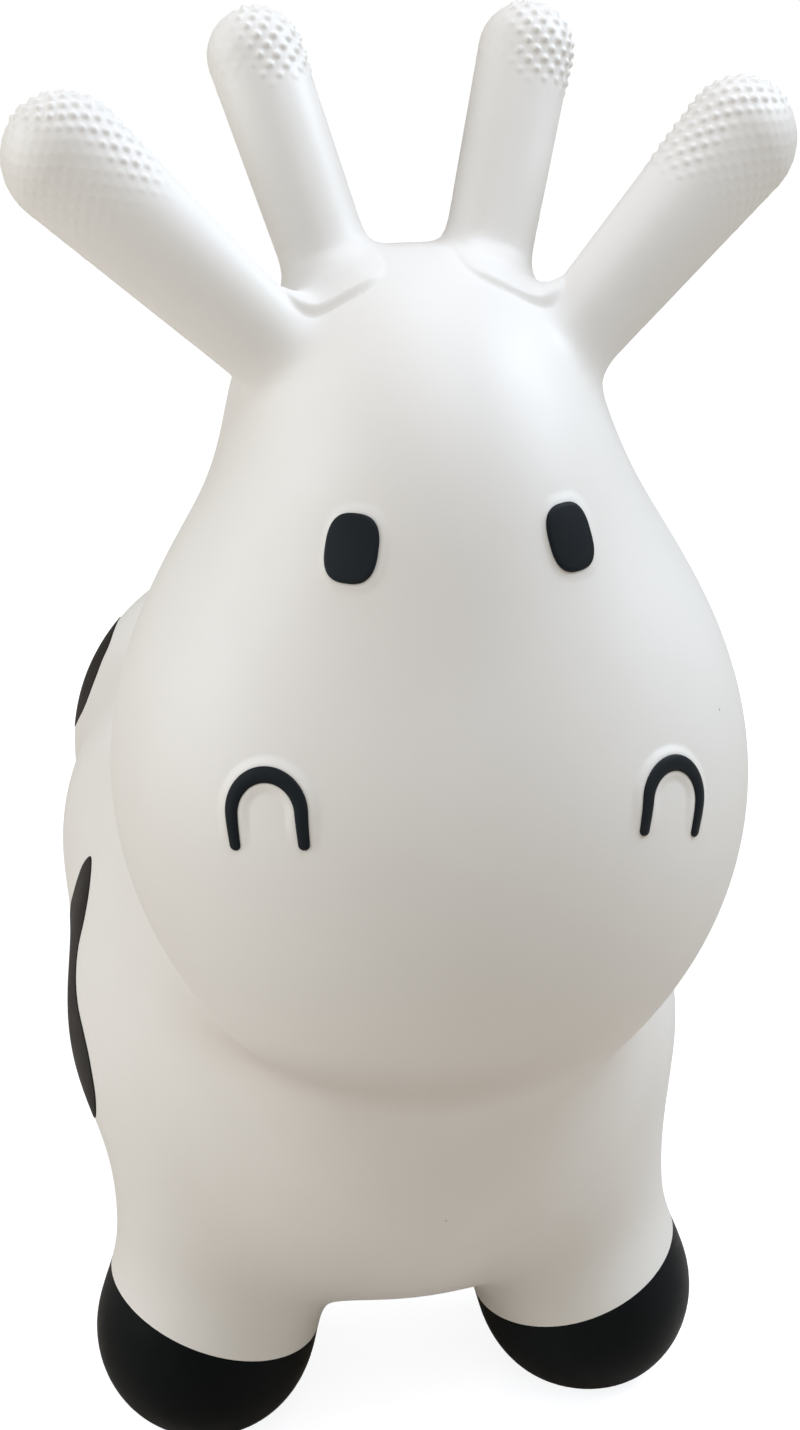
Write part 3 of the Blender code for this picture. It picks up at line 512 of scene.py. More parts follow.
# Patterns per metre of the vinyl's clouds, dust, handled spots, pores and ripples, and the bands
# of each pattern's values that show.
CLOUDS, CLOUD_BAND = 9.0, (0.35, 0.65)
FLECKS, FLECK_BAND, FLECK_CHOICE = 70.0, (0.06, 0.03), (0.985, 0.99)
HANDLING, HANDLED_BAND = 26.0, (0.3, 0.7)
PORES, RIPPLES, GRAIN_HEIGHT = 620.0, 95.0, 0.0004


def wire(source, outlet, target, inlet):
    """Link one node's outlet to another's inlet."""
    source.id_data.links.new(source.outputs[outlet], target.inputs[inlet])


def dial(node, values):
    """Set a node's inlets by their names."""
    for inlet, value in values.items():
        node.inputs[inlet].default_value = value


def vinyl_group():
    """Look of soft vinyl: cloudy tone, fine grain of the mould, and a few specks of dust.

    The tone and the shine follow slow noise, the grain the sum of a fine and a coarse one. A
    speck is the middle of a Voronoi cell, in the few cells whose own red is highest.
    """
    group = bpy.data.node_groups.new("vinyl_surface", "ShaderNodeTree")
    face = group.interface
    face.new_socket("Place", in_out="INPUT", socket_type="NodeSocketVector")
    for title, value in (("Cloud", 1.0), ("Rough", 0.5), ("Rough Range", 0.1), ("Dust", 1.0),
                         ("Grain", 0.1)):
        face.new_socket(title, in_out="INPUT", socket_type="NodeSocketFloat").default_value = value
    for title in ("Light", "Dark", "Speck"):
        face.new_socket(title, in_out="INPUT", socket_type="NodeSocketColor")
    face.new_socket("Colour", in_out="OUTPUT", socket_type="NodeSocketColor")
    face.new_socket("Roughness", in_out="OUTPUT", socket_type="NodeSocketFloat")
    face.new_socket("Normal", in_out="OUTPUT", socket_type="NodeSocketVector")
    nodes, links = group.nodes, group.links
    given, made = nodes.new("NodeGroupInput"), nodes.new("NodeGroupOutput")

    def noise(scale, detail, roughness=0.5):
        node = nodes.new("ShaderNodeTexNoise")
        dial(node, {"Scale": scale, "Detail": detail, "Roughness": roughness})
        wire(given, "Place", node, "Vector")
        return node.outputs["Fac"]

    def spread(value, low, high, to_low=0.0, to_high=1.0):
        node = nodes.new("ShaderNodeMapRange")
        node.interpolation_type = "SMOOTHSTEP"
        links.new(value, node.inputs["Value"])
        dial(node, {"From Min": low, "From Max": high, "To Min": to_low, "To Max": to_high})
        return node.outputs["Result"]

    def math(kind, a, b):
        node = nodes.new("ShaderNodeMath")
        node.operation = kind
        for slot, value in zip(node.inputs, (a, b)):
            if isinstance(value, (int, float)):
                slot.default_value = value
            else:
                links.new(value, slot)
        return node.outputs["Value"]

    def mixed(factor, a, b):
        node = nodes.new("ShaderNodeMix")
        node.data_type = "RGBA"
        links.new(factor, node.inputs["Factor"])
        links.new(a, node.inputs["A"])
        links.new(b, node.inputs["B"])
        return node.outputs["Result"]

    cloud = math("MULTIPLY", spread(noise(CLOUDS, 3.0), *CLOUD_BAND), given.outputs["Cloud"])
    tone = mixed(cloud, given.outputs["Light"], given.outputs["Dark"])
    flecks = nodes.new("ShaderNodeTexVoronoi")
    dial(flecks, {"Scale": FLECKS})
    wire(given, "Place", flecks, "Vector")
    chosen = nodes.new("ShaderNodeSeparateColor")
    wire(flecks, "Color", chosen, "Color")
    speck = math("MULTIPLY", spread(flecks.outputs["Distance"], *FLECK_BAND),
                 spread(chosen.outputs["Red"], *FLECK_CHOICE))
    speck = math("MULTIPLY", speck, given.outputs["Dust"])
    links.new(mixed(speck, tone, given.outputs["Speck"]), made.inputs["Colour"])
    handled = spread(noise(HANDLING, 4.0, 0.6), *HANDLED_BAND, -1.0, 1.0)
    handled = math("MULTIPLY", handled, given.outputs["Rough Range"])
    links.new(math("ADD", given.outputs["Rough"], handled), made.inputs["Roughness"])
    pores = math("MULTIPLY", noise(PORES, 2.0), 0.5)
    ripples = math("MULTIPLY", noise(RIPPLES, 2.0), 0.5)
    peel = math("ADD", pores, ripples)
    bump = nodes.new("ShaderNodeBump")
    dial(bump, {"Distance": GRAIN_HEIGHT})
    links.new(peel, bump.inputs["Height"])
    wire(given, "Grain", bump, "Strength")
    wire(bump, "Normal", made, "Normal")
    return group


def vinyl(name, light, dark, speck, rough, rough_range, grain, gloss=0.5, resting=True):
    """A finish of soft vinyl or paint on it, read from the resting place or the object's own."""
    finish = bpy.data.materials.new(name)
    finish.use_nodes = True
    nodes = finish.node_tree.nodes
    shader = nodes["Principled BSDF"]
    dial(shader, {"IOR": VINYL_IOR, "Specular IOR Level": gloss})
    surface = nodes.new("ShaderNodeGroup")
    surface.node_tree = VINYL
    place = nodes.new("ShaderNodeAttribute" if resting else "ShaderNodeTexCoord")
    if resting:
        place.attribute_name = "rest"
    wire(place, "Vector" if resting else "Object", surface, "Place")
    dial(surface, {"Rough": rough, "Rough Range": rough_range, "Grain": grain,
                   "Light": (*light, 1), "Dark": (*dark, 1), "Speck": (*speck, 1)})
    wire(surface, "Colour", shader, "Base Color")
    wire(surface, "Roughness", shader, "Roughness")
    wire(surface, "Normal", shader, "Normal")
    return finish


VINYL, VINYL_IOR = vinyl_group(), 1.48
WHITE_LOOK = ((0.840, 0.825, 0.800), (0.815, 0.795, 0.765), (0.36, 0.31, 0.26), 0.46, 0.05, 0.10)
# Painted shade: along the crease under the chin, where shade falls, the skin's colour is darkened
# towards this tint by this share.
CREASE_SHADE_TINT, CREASE_SHADE_SHARE = (0.66, 0.60, 0.56), 0.6


def with_crease_shade(finish, tint, share):
    """Paint shade into a finish: darken it towards a tint where the piece's crease attribute is
    high.
    """
    nodes, links = finish.node_tree.nodes, finish.node_tree.links
    base = nodes["Principled BSDF"].inputs["Base Color"]
    crease_shade = nodes.new("ShaderNodeAttribute")
    crease_shade.attribute_name = "crease_shade"
    part = nodes.new("ShaderNodeMath")
    part.operation = "MULTIPLY"
    part.inputs[1].default_value = share
    wire(crease_shade, "Fac", part, 0)
    turned = nodes.new("ShaderNodeMix")
    turned.data_type = "RGBA"
    dial(turned, {"B": (*tint, 1)})
    wire(part, "Value", turned, "Factor")
    links.new(base.links[0].from_socket, turned.inputs["A"])
    links.new(turned.outputs["Result"], base)
    return finish


white = vinyl("white_vinyl", *WHITE_LOOK)
# The skin's finish carries the painted shade of the chin's crease.
skin_white_crease_shaded = with_crease_shade(vinyl("skin_vinyl_crease_shaded", *WHITE_LOOK), CREASE_SHADE_TINT, CREASE_SHADE_SHARE)

HIP_LINE = (0.078, radians(27))
HOOF_LINE = (0.050, radians(18.6))
BESIDE_CUT, BEFORE_CUT = 0.004, 0.006
POCKET_RADIUS, POCKET_DEPTH = 0.0083, 0.030
whole_skin = settled_hull()
bm = opened(whole_skin)
for side in (1, -1):
    sliced(bm, *line_of_leg(*HIP_LINE, side))
    for grip in (EAR, HORN):
        mirror = np.array((side, 1, 1))
        points = np.array([v.co[:] for v in bm.verts]) * mirror - grip.root
        along = points @ grip.axis
        off = np.linalg.norm(points - along[:, None] * grip.axis, axis=1)
        chosen = (off < grip.radius(grip.cut) + BESIDE_CUT) & (along > grip.cut - BEFORE_CUT)
        near = {v for v, c in zip(bm.verts, chosen) if c}
        sliced(bm, grip.at(grip.cut) * mirror, -grip.axis * mirror, near)
bmesh.ops.recalc_face_normals(bm, faces=bm.faces)
skin = closed("skin", bm)
VALVE_SPOT = settle(np.array([[0.0, 0.052, 0.078]]), plain_form)[0]
bm = bmesh.new()
bmesh.ops.create_cone(bm, cap_ends=True, segments=48, radius1=POCKET_RADIUS, radius2=POCKET_RADIUS,
                      depth=POCKET_DEPTH, matrix=Matrix.Translation(VALVE_SPOT))
pocket = closed("pocket", bm)
hole = skin.modifiers.new("valve_pocket", "BOOLEAN")
hole.operation = "DIFFERENCE"
hole.solver = "EXACT"
hole.object = pocket
bm = applied(skin)
bpy.data.objects.remove(pocket, do_unlink=True)
skin = closed("skin", bm)
rest = keep_rest(skin.data)
true_normals(skin.data, rest, stubbed_form)
# Painted shade: the crease's depth under the chin, stored so that the skin's colour is darkened
# there.
crease_shade = skin.data.attributes.new("crease_shade", "FLOAT", "POINT")
crease_shade.data.foreach_set("value", chin_fold(rest) / CHIN_DEPTH)
skin.data.materials.append(skin_white_crease_shaded)
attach(skin, "torso")
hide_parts("torso_skin", "head_skin")

# Legs and hooves
# Short soft stretches of the same moulding, and the hooves below a masked paint line.
hoof_black = vinyl("hoof_paint", (0.0040, 0.0055, 0.0060), (0.0085, 0.0105, 0.0120),
                   (0.09, 0.09, 0.085), 0.42, 0.07, 0.16, gloss=0.06)
SIDES = ((1, "left"), (-1, "right"))
for side, hand in SIDES:
    hip_at, hip_up = line_of_leg(*HIP_LINE, side)
    hoof_at, hoof_up = line_of_leg(*HOOF_LINE, side)
    half = (Vector((0, 0, 0)), Vector((side, 0, 0)))
    for place, end in (("front", -1), ("rear", 1)):
        end_half = (Vector((0, 0, 0)), Vector((0, end, 0)))
        leg = piece_of_skin(f"{place}_{hand}_soft_leg",
                            [half, end_half, (hip_at, -hip_up), (hoof_at, hoof_up)])
        leg.data.materials.append(white)
        middle = (hip_up + hoof_up).normalized()
        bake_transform(leg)
        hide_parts(f"{place}_{hand}_leg")
        hoof = piece_of_skin(f"{place}_{hand}_black_hoof", [half, end_half, (hoof_at, -hoof_up)])
        hoof.data.materials.append(hoof_black)
        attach(hoof, "feet")
        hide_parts(f"{place}_{hand}_hoof")


# Ears and horns
# Hollow grips of the same vinyl. Rows of small nubs on the tips keep a child's hands from
# slipping.
def grip_radius(grip, stations):
    """Radius of the limb at each station, and of the ball that ends it."""
    past = np.maximum(stations - grip.reach, 0)
    return np.where(past > 0, np.sqrt(np.maximum(grip.radii[1]**2 - past**2, 0)),
                    grip.radius(np.minimum(stations, grip.reach)))


def around(grip, stations, turns):
    """Points at each station and turn on the round limb about the left grip's axis."""
    first = unit(np.cross(grip.axis, (0, 0, 1)))
    second = np.cross(grip.axis, first)
    spoke = np.cos(turns)[..., None] * first + np.sin(turns)[..., None] * second
    return (grip.root + stations[..., None] * grip.axis
            + grip_radius(grip, stations)[..., None] * spoke)


def nub_centres(grip, spacing):
    """Even points over the outer half of a grip: a spiral of equal areas and golden turns."""
    stations = np.linspace(grip.reach / 2, grip.reach + grip.radii[1] - 0.00001, 3000)
    radius = grip_radius(grip, stations)
    area = np.cumsum(2 * pi * radius * np.hypot(np.gradient(stations), np.gradient(radius)))
    number = np.arange(int(area[-1] / (spacing**2 * NUB_CELL))) + 0.5
    return np.interp(number * area[-1] / len(number), area, stations), number * pi * (3 - 5**0.5)


def out_of(points):
    """Unit normals of the form at points."""
    slope = steepest(points, form)
    return slope / np.linalg.norm(slope, axis=1)[:, None]


# Rings of a grip, its lap over the skin's cut, and its nubs: each takes a cell of a triangular
# grid, NUB_CELL of the spacing's square, and is worn to a share where it faces away.
GRIP_TURNS, GRIP_STRAIGHT, GRIP_CAP = 240, 112, 46
GRIP_LAP, GRIP_DIP, DIP_START, SEAM_SHADED = 0.004, 0.0004, 0.0005, 0.006
NUB_SPACING, NUB_CELL, NUB_RADIUS, NUB_HEIGHT = 0.0046, 0.87, 0.0018, 0.0010
NUB_WORN, NUB_FACING, NUB_MARGIN, NUB_BATCHES = 0.12, (0.25, 0.35), 0.05, 24


def bare_grip(grip):
    """Rings carried along the left grip's axis and settled on the form, and its nubs' places.

    The first rings dip under the skin, so that the seam between the two doesn't show.
    """
    foot = grip.cut - GRIP_LAP
    straight = np.linspace(foot, grip.reach, GRIP_STRAIGHT)
    angle = np.linspace(0, pi / 2, GRIP_CAP)[1:-1]
    stations = np.concatenate([straight, grip.reach + grip.radii[1] * np.sin(angle)])
    turns = np.linspace(0, 2 * pi, GRIP_TURNS, endpoint=False)
    rings = around(grip, *np.meshgrid(stations, turns, indexing="ij")).reshape(-1, 3)
    points = np.concatenate([rings, [grip.tip + grip.radii[1] * grip.axis]])
    points = settle(points, form, 4)
    normals = out_of(points)
    station = np.concatenate([np.repeat(stations, GRIP_TURNS), [grip.reach + grip.radii[1]]])
    dip = GRIP_DIP * below((grip.cut + DIP_START, GRIP_LAP), station)
    points = np.concatenate([[grip.at(foot)], points - dip[:, None] * normals])
    normals = np.concatenate([[-grip.axis], normals])
    station = np.concatenate([[foot], station])
    spots = settle(around(grip, *nub_centres(grip, NUB_SPACING)), form, 4)
    return points, normals, station, spots, out_of(spots), len(stations)


def nubbed_grip(name, grip, bare, side, facing, full_share, fade):
    """The grip on one side, raised by h (1 - d^2 / r^2)^2 round each nub's centre.

    The nubs are lower away from the facing direction, worn there, and fade towards the head.
    """
    mirror = np.array((side, 1, 1))
    points, normals, station, spots, spots_out, rows = bare
    points, normals, spots = points * mirror, normals * mirror, spots * mirror
    along = (spots - grip.root * mirror) @ (grip.axis * mirror) / grip.reach
    facing = (spots_out * mirror) @ unit(np.array(facing))
    grown = NUB_WORN + (1 - NUB_WORN) * above(NUB_FACING, facing)
    grown = grown * above((full_share - fade, fade), along)
    raised = np.zeros(len(points))
    outer = np.flatnonzero(station > grip.reach * (full_share - fade - NUB_MARGIN))
    for part in np.array_split(outer, NUB_BATCHES):
        gap = np.linalg.norm(points[part][:, None] - spots[None], axis=2)
        raised[part] = (grown * np.maximum(1 - (gap / NUB_RADIUS)**2, 0)**2).max(axis=1)
    made = smooth_shell(name, points + NUB_HEIGHT * raised[:, None] * normals,
                        ring_faces(rows, GRIP_TURNS))
    shading = np.zeros(len(points) * 3)
    made.data.vertex_normals.foreach_get("vector", shading)
    by_seam = (station < grip.cut + SEAM_SHADED)[:, None]
    shading = np.where(by_seam, normals, shading.reshape(-1, 3))
    made.data.normals_split_custom_set_from_vertices(shading.tolist())
    return made


# Each kind's grip, the share of its reach where its nubs are full, the share over which they
# fade in before that, and where the full ones of the left and the right grip face.
KINDS = {"ear": (EAR, 0.80, 0.24, {1: (-0.10, 0.10, 0.99), -1: (0.10, 0.10, 0.99)}),
         "horn": (HORN, 0.90, 0.20, {1: (0.62, -0.30, 0.72), -1: (0.62, -0.30, 0.72)})}
for kind, (grip, full_share, fade, facing) in KINDS.items():
    bare = bare_grip(grip)
    for side, hand in SIDES:
        held = nubbed_grip(f"{hand}_soft_{kind}", grip, bare, side, facing[side], full_share,
                           fade)
        held.data.materials.append(white)
        mirror = np.array((side, 1, 1))
        grip.at(grip.cut) * mirror
        grip.at(grip.cuff_end) * mirror
        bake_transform(held)
        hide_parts(f"{hand}_{kind}", f"{hand}_{kind}_root")


# Face
# Eyes and nostrils are moulded a little proud of the face and painted near black by hand. The
# two sides are a few millimetres off a mirror image.
face_black = vinyl("face_paint", (0.0095, 0.0130, 0.0165), (0.016, 0.020, 0.024),
                   (0.08, 0.08, 0.08), 0.50, 0.06, 0.20, gloss=0.12)


def on_face(spot, side, a, b, height, shift_out, shift_up, tilt=0.0):
    """Points across and up the skin from a spot, settled on it and lifted by a height.

    They are first turned by a tilt, feet towards the middle, and shifted out and up.
    """
    centre, out, across, up = spot
    mirror = np.array((side, 1, 1))
    a, b = shift_out + a * cos(tilt) + b * sin(tilt), shift_up + b * cos(tilt) - a * sin(tilt)
    flat = centre * mirror + a[:, None] * across * mirror + b[:, None] * up * mirror
    flat = settle(flat, form, 5)
    return flat + height[:, None] * out_of(flat)


def capped(first, rings, last):
    """Values of the first point, of all rings and of the last point, in a row."""
    return np.concatenate([[first], rings.ravel(), [last]])


def button(name, outline, profile, place):
    """A closed raised shape: a profile of (share of the outline, height) carried round it."""
    turn = np.linspace(0, 2 * pi, 96, endpoint=False)
    share, height = np.array(profile).T
    edge_a, edge_b = outline(turn)
    a, b = capped(0, np.outer(share, edge_a), 0), capped(0, np.outer(share, edge_b), 0)
    h = capped(height[0], np.repeat(height, len(turn)), height[-1])
    return smooth_shell(name, place(a, b, h), ring_faces(len(share), len(turn)))


def eye_outline(turn):
    """Rounded oval: the superellipse of the eye's swell."""
    size = 1 / share_out(np.cos(turn), np.sin(turn), EYE_HALVES, EYE_POWER)
    return size * np.cos(turn), size * np.sin(turn)


# An eye has a low crown, a rounded shoulder and a foot under the skin. A nostril is an ellipse
# that grows wider towards the top of its arch.
EYE_PLACES = {1: (-0.0010, -0.0002), -1: (0.0008, -0.0002)}
EYE_HEIGHT, EYE_CROWN, EYE_SHOULDER = 0.0010, 0.0002, 0.84
EYE_PROFILE = [(s, EYE_HEIGHT + EYE_CROWN * (1 - s * s))
               for s in np.linspace(0.06, EYE_SHOULDER, 14)]
EYE_PROFILE += [(EYE_SHOULDER + (1 - EYE_SHOULDER) * sin(t), 0.00035 + 0.00071 * cos(t))
                for t in np.linspace(0.1, pi / 2, 8)]
EYE_PROFILE += [(1.0, -0.0004), (0.9, -0.0006), (0.5, -0.0006), (0.1, -0.0006)]
NOSTRIL_HALF, NOSTRIL_WIDER, NOSTRIL_END = 0.0019, 0.0007, 0.0016
NOSTRIL_HEIGHT, NOSTRIL_LIFT = 0.0008, 0.0002


def nostril_surface(side):
    """An ellipse of changing width carried along an upside-down U, with round ends."""
    rows, columns = 150, 28
    total = pi * NOSTRIL_ARCH + 2 * NOSTRIL_LEG
    s = (1 - np.cos(np.linspace(0, pi, rows + 2)[1:-1])) / 2 * total
    from_end = np.maximum(NOSTRIL_END - np.minimum(s, total - s), 0) / NOSTRIL_END
    taper = np.sqrt(np.clip(1 - from_end**2, 0.02, 1))
    half = taper * (NOSTRIL_HALF + NOSTRIL_WIDER * np.sin(pi * s / total)**1.3)
    turned = np.clip((s - NOSTRIL_LEG) / NOSTRIL_ARCH, 0, pi)
    drop = np.maximum(NOSTRIL_LEG - s, 0) + np.maximum(s - total + NOSTRIL_LEG, 0)
    phi = np.linspace(0, 2 * pi, columns, endpoint=False)
    radius = NOSTRIL_ARCH + np.outer(half, np.cos(phi))
    a = -radius * np.cos(turned)[:, None]
    b = radius * np.sin(turned)[:, None] - drop[:, None]
    h = np.outer(taper * NOSTRIL_HEIGHT, np.sin(phi)) + NOSTRIL_LIFT
    a, b = capped(-NOSTRIL_ARCH, a, NOSTRIL_ARCH), capped(-NOSTRIL_LEG, b, -NOSTRIL_LEG)
    h = capped(NOSTRIL_LIFT, h, NOSTRIL_LIFT)
    return on_face(NOSTRIL, side, a, b, h, *NOSTRIL_PLACES[side]), ring_faces(rows, columns)


for side, hand in SIDES:
    eye = button(f"{hand}_painted_eye", eye_outline, EYE_PROFILE,
                 lambda a, b, h: on_face(EYE, side, a, b, h, *EYE_PLACES[side]))
    nostril = smooth_shell(f"{hand}_painted_nostril", *nostril_surface(side))
    for feature, node in ((eye, "eye"), (nostril, "nostril")):
        feature.data.materials.append(face_black)
        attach(feature, "torso")
        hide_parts(f"{hand}_{node}")

# Coat
# Blots of brown-black paint, sprayed through a mask onto the sides and the back. Each outline is
# a closed smooth curve through a few points, given as seen from the side or from above.
coat_black = vinyl("coat_paint", (0.0085, 0.0078, 0.0076), (0.0160, 0.0140, 0.0130),
                   (0.11, 0.10, 0.095), 0.48, 0.06, 0.16, gloss=0.08)
PATCHES = {
    "right_shoulder": ((-1, 0, 0), (
        (-0.0277, 0.2057), (-0.0345, 0.2045), (-0.0445, 0.1976), (-0.0517, 0.1887),
        (-0.0565, 0.1785), (-0.0651, 0.1707), (-0.0768, 0.1644), (-0.0898, 0.1588),
        (-0.0994, 0.1515), (-0.1044, 0.1417), (-0.1035, 0.1330), (-0.0980, 0.1245),
        (-0.0860, 0.1180), (-0.0700, 0.1190), (-0.0520, 0.1270), (-0.0300, 0.1360),
        (-0.0120, 0.1480), (-0.0060, 0.1620), (-0.0126, 0.1758), (-0.0181, 0.1850),
        (-0.0202, 0.1925), (-0.0222, 0.2000))),
    "right_hip": ((-1, 0, 0), (
        (0.1551, 0.2030), (0.1588, 0.2120), (0.1650, 0.2180), (0.1714, 0.2235),
        (0.1810, 0.2262), (0.1940, 0.2272), (0.2080, 0.2250), (0.2210, 0.2130),
        (0.2240, 0.1930), (0.2100, 0.1770), (0.1900, 0.1750), (0.1740, 0.1820),
        (0.1635, 0.1897), (0.1575, 0.1960))),
    "left_shoulder": ((1, 0, 0), (
        (-0.0540, 0.1700), (-0.0420, 0.1930), (-0.0160, 0.2060), (0.0100, 0.2010),
        (0.0280, 0.1830), (0.0240, 0.1620), (0.0050, 0.1540), (-0.0120, 0.1440),
        (-0.0330, 0.1440), (-0.0500, 0.1520))),
    "left_hip": ((1, 0, 0), (
        (0.1240, 0.1900), (0.1350, 0.2080), (0.1590, 0.2120), (0.1830, 0.2060),
        (0.2080, 0.2000), (0.2270, 0.1800), (0.2210, 0.1560), (0.2000, 0.1440),
        (0.1770, 0.1490), (0.1580, 0.1640), (0.1360, 0.1720))),
    "saddle": ((0, 0, 1), (
        (0.0020, 0.0900), (0.0180, 0.0830), (0.0400, 0.0890), (0.0540, 0.1080),
        (0.0520, 0.1320), (0.0360, 0.1500), (0.0160, 0.1470), (0.0080, 0.1290),
        (0.0000, 0.1120))),
}


def through(corners, turn):
    """Closed curve through corners: each span a cubic with the slopes of its neighbours."""
    corners = np.array(corners)
    count = len(corners)
    t = turn / (2 * pi) * count
    i = np.floor(t).astype(int) % count
    u = (t - np.floor(t))[:, None]
    before, here = corners[(i - 1) % count], corners[i]
    after, beyond = corners[(i + 1) % count], corners[(i + 2) % count]
    bend = before - 2.5 * here + 2 * after - beyond / 2
    twist = -before / 2 + 1.5 * here - 1.5 * after + beyond / 2
    return here + u * (after - before) / 2 + u**2 * bend + u**3 * twist


def dropped(points, direction, rounds=60, share=0.8):
    """March points along a direction by a share of the form's distance, until they lie on it."""
    for _ in range(rounds):
        points = points + (share * form(points))[:, None] * direction
    return points


COAT_START, SADDLE_START = 0.16, 0.31


def on_coat(outward, middle, a, b, height):
    """Points of a flat drawing before the skin, pushed back onto it and lifted by a height."""
    a, b = a + middle[0], b + middle[1]
    if outward[2]:
        flat = np.stack([a, b, np.full_like(a, SADDLE_START)], axis=1)
    else:
        flat = np.stack([np.full_like(a, COAT_START * outward[0]), a, b], axis=1)
    lying = dropped(flat, -outward)
    return lying + height[:, None] * out_of(lying)


COAT_PROFILE = [(s, 0.00035) for s in np.linspace(0.03, 0.985, 48)]
COAT_PROFILE += [(0.997, 0.00022), (1.0, 0.0), (0.999, -0.0004), (0.6, -0.0006), (0.2, -0.0006)]
for name, (outward, corners) in PATCHES.items():
    outward, middle = np.array(outward, dtype=float), np.array(corners).mean(axis=0)
    blot = button(f"{name}_blot", lambda turn: (through(corners, turn) - middle).T, COAT_PROFILE,
                  lambda a, b, h: on_coat(outward, middle, a, b, h))
    blot.data.materials.append(coat_black)
    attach(blot, "torso")
    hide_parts(f"{name}_patch")

# Tail
# A strap moulded on the rump that ends in a tuft of three soft locks, painted black like the
# coat. Both lie along the skin, with their lower sides sunk into it.
TAIL_TOP, TAIL_LENGTH, TAIL_PARTING, TAIL_START = 0.224, 0.092, 0.60, 0.34
STRAP_HALF, TUFT_WIDER, TUFT_SWELL, THINNEST = 0.006, 0.005, (0.55, 0.25), 0.0004
ROOT_ROUND, TIP_START, TIP_ROUND = 0.06, 0.86, 0.14
LOCKS, LOCK_DEPTH, TAIL_HEIGHT, TAIL_LIFT = 3, 0.22, 0.0042, 0.0004


def tail_surface(from_share, to_share, rows=90, columns=40):
    """A flat ellipse carried down the rump; its half width swells from strap to tuft.

    The tuft is parted into locks: its height gives way by a cosine across the width.
    """
    t = np.linspace(from_share, to_share, rows)
    tuft = above(TUFT_SWELL, t)
    ends = np.sqrt(np.clip(1 - (np.maximum(ROOT_ROUND - t, 0) / ROOT_ROUND)**2, 0, 1))
    ends = ends * np.sqrt(np.clip(1 - (np.maximum(t - TIP_START, 0) / TIP_ROUND)**2, 0, 1))
    half = np.maximum((STRAP_HALF + TUFT_WIDER * tuft) * ends, THINNEST)
    phi = np.linspace(0, 2 * pi, columns, endpoint=False)
    x = capped(0, np.outer(half, np.cos(phi)), 0)
    lock = 1 - LOCK_DEPTH * tuft[:, None] * (1 - np.cos(LOCKS * pi * np.cos(phi)))[None] / 2
    h = np.outer(TAIL_HEIGHT * np.minimum(half / STRAP_HALF, 1), np.sin(phi)) * lock + TAIL_LIFT
    z = TAIL_TOP - t * TAIL_LENGTH
    z = capped(z[0], np.repeat(z, columns), z[-1])
    lying = dropped(np.stack([x, np.full_like(x, TAIL_START), z], axis=1), np.array((0, -1, 0)))
    height = capped(TAIL_LIFT, h, TAIL_LIFT)
    return lying + height[:, None] * out_of(lying), ring_faces(rows, columns)


strap = smooth_shell("tail_strap", *tail_surface(0.0, TAIL_PARTING))
tuft = smooth_shell("tail_tuft", *tail_surface(TAIL_PARTING, 1.0))
for part, finish, slot in ((strap, white, "white_vinyl"), (tuft, coat_black, "black_vinyl")):
    part.data.materials.append(finish)
    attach(part, "torso")
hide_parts("tail")

# Valve
# A turned seat of the same soft vinyl welded through the belly, with a flange inside, and a hard
# plastic plug with ribs and a tab pushed up into it. The plug is as the CAD has it.
SEAT_SECTION = ((0.0047, 0.0140), (0.0072, 0.0140), (0.0080, 0.0132), (0.0080, 0.0054),
                (0.0140, 0.0054), (0.0140, 0.0038), (0.0080, 0.0038), (0.0080, 0.0), (0.0047, 0.0))
SEAT_ROUND = 0.0003


def turned_seat(centre, rounding, turns=96):
    """The seat's section carried round a vertical axis through a centre.

    Each corner of the section gives way to a quadratic curve between two points at the rounding's
    distance from it: (1 - u)^2 before + 2 u (1 - u) corner + u^2 after.
    """
    corners = np.array(SEAT_SECTION)
    before, after = np.roll(corners, 1, axis=0) - corners, np.roll(corners, -1, axis=0) - corners
    before = corners + rounding * before / np.linalg.norm(before, axis=1)[:, None]
    after = corners + rounding * after / np.linalg.norm(after, axis=1)[:, None]
    u = np.linspace(0, 1, 5)[None, :, None]
    curve = ((1 - u)**2 * before[:, None] + 2 * u * (1 - u) * corners[:, None]
             + u**2 * after[:, None])
    radius, height = curve.reshape(-1, 2).T
    turn = np.linspace(0, 2 * pi, turns, endpoint=False)
    points = np.stack([np.outer(radius, np.cos(turn)), np.outer(radius, np.sin(turn)),
                       np.repeat(height[:, None], turns, axis=1)], axis=-1).reshape(-1, 3) + centre
    row, column = np.meshgrid(np.arange(len(radius)), np.arange(turns), indexing="ij")
    after, beside = (row + 1) % len(radius), (column + 1) % turns
    quads = np.stack([row * turns + column, row * turns + beside, after * turns + beside,
                      after * turns + column], axis=-1)
    return points, quads.reshape(-1, 4).tolist()


seat = smooth_shell("turned_valve_seat", *turned_seat(VALVE_SPOT, SEAT_ROUND))
seat.data.materials.append(white)
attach(seat, "torso")
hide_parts("valve_seat")
plug_white = vinyl("plug_plastic", (0.72, 0.71, 0.69), (0.68, 0.67, 0.64), (0.4, 0.35, 0.3), 0.34,
                   0.05, 0.06, resting=False)
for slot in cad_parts["valve_plug"].material_slots:
    slot.material = plug_white

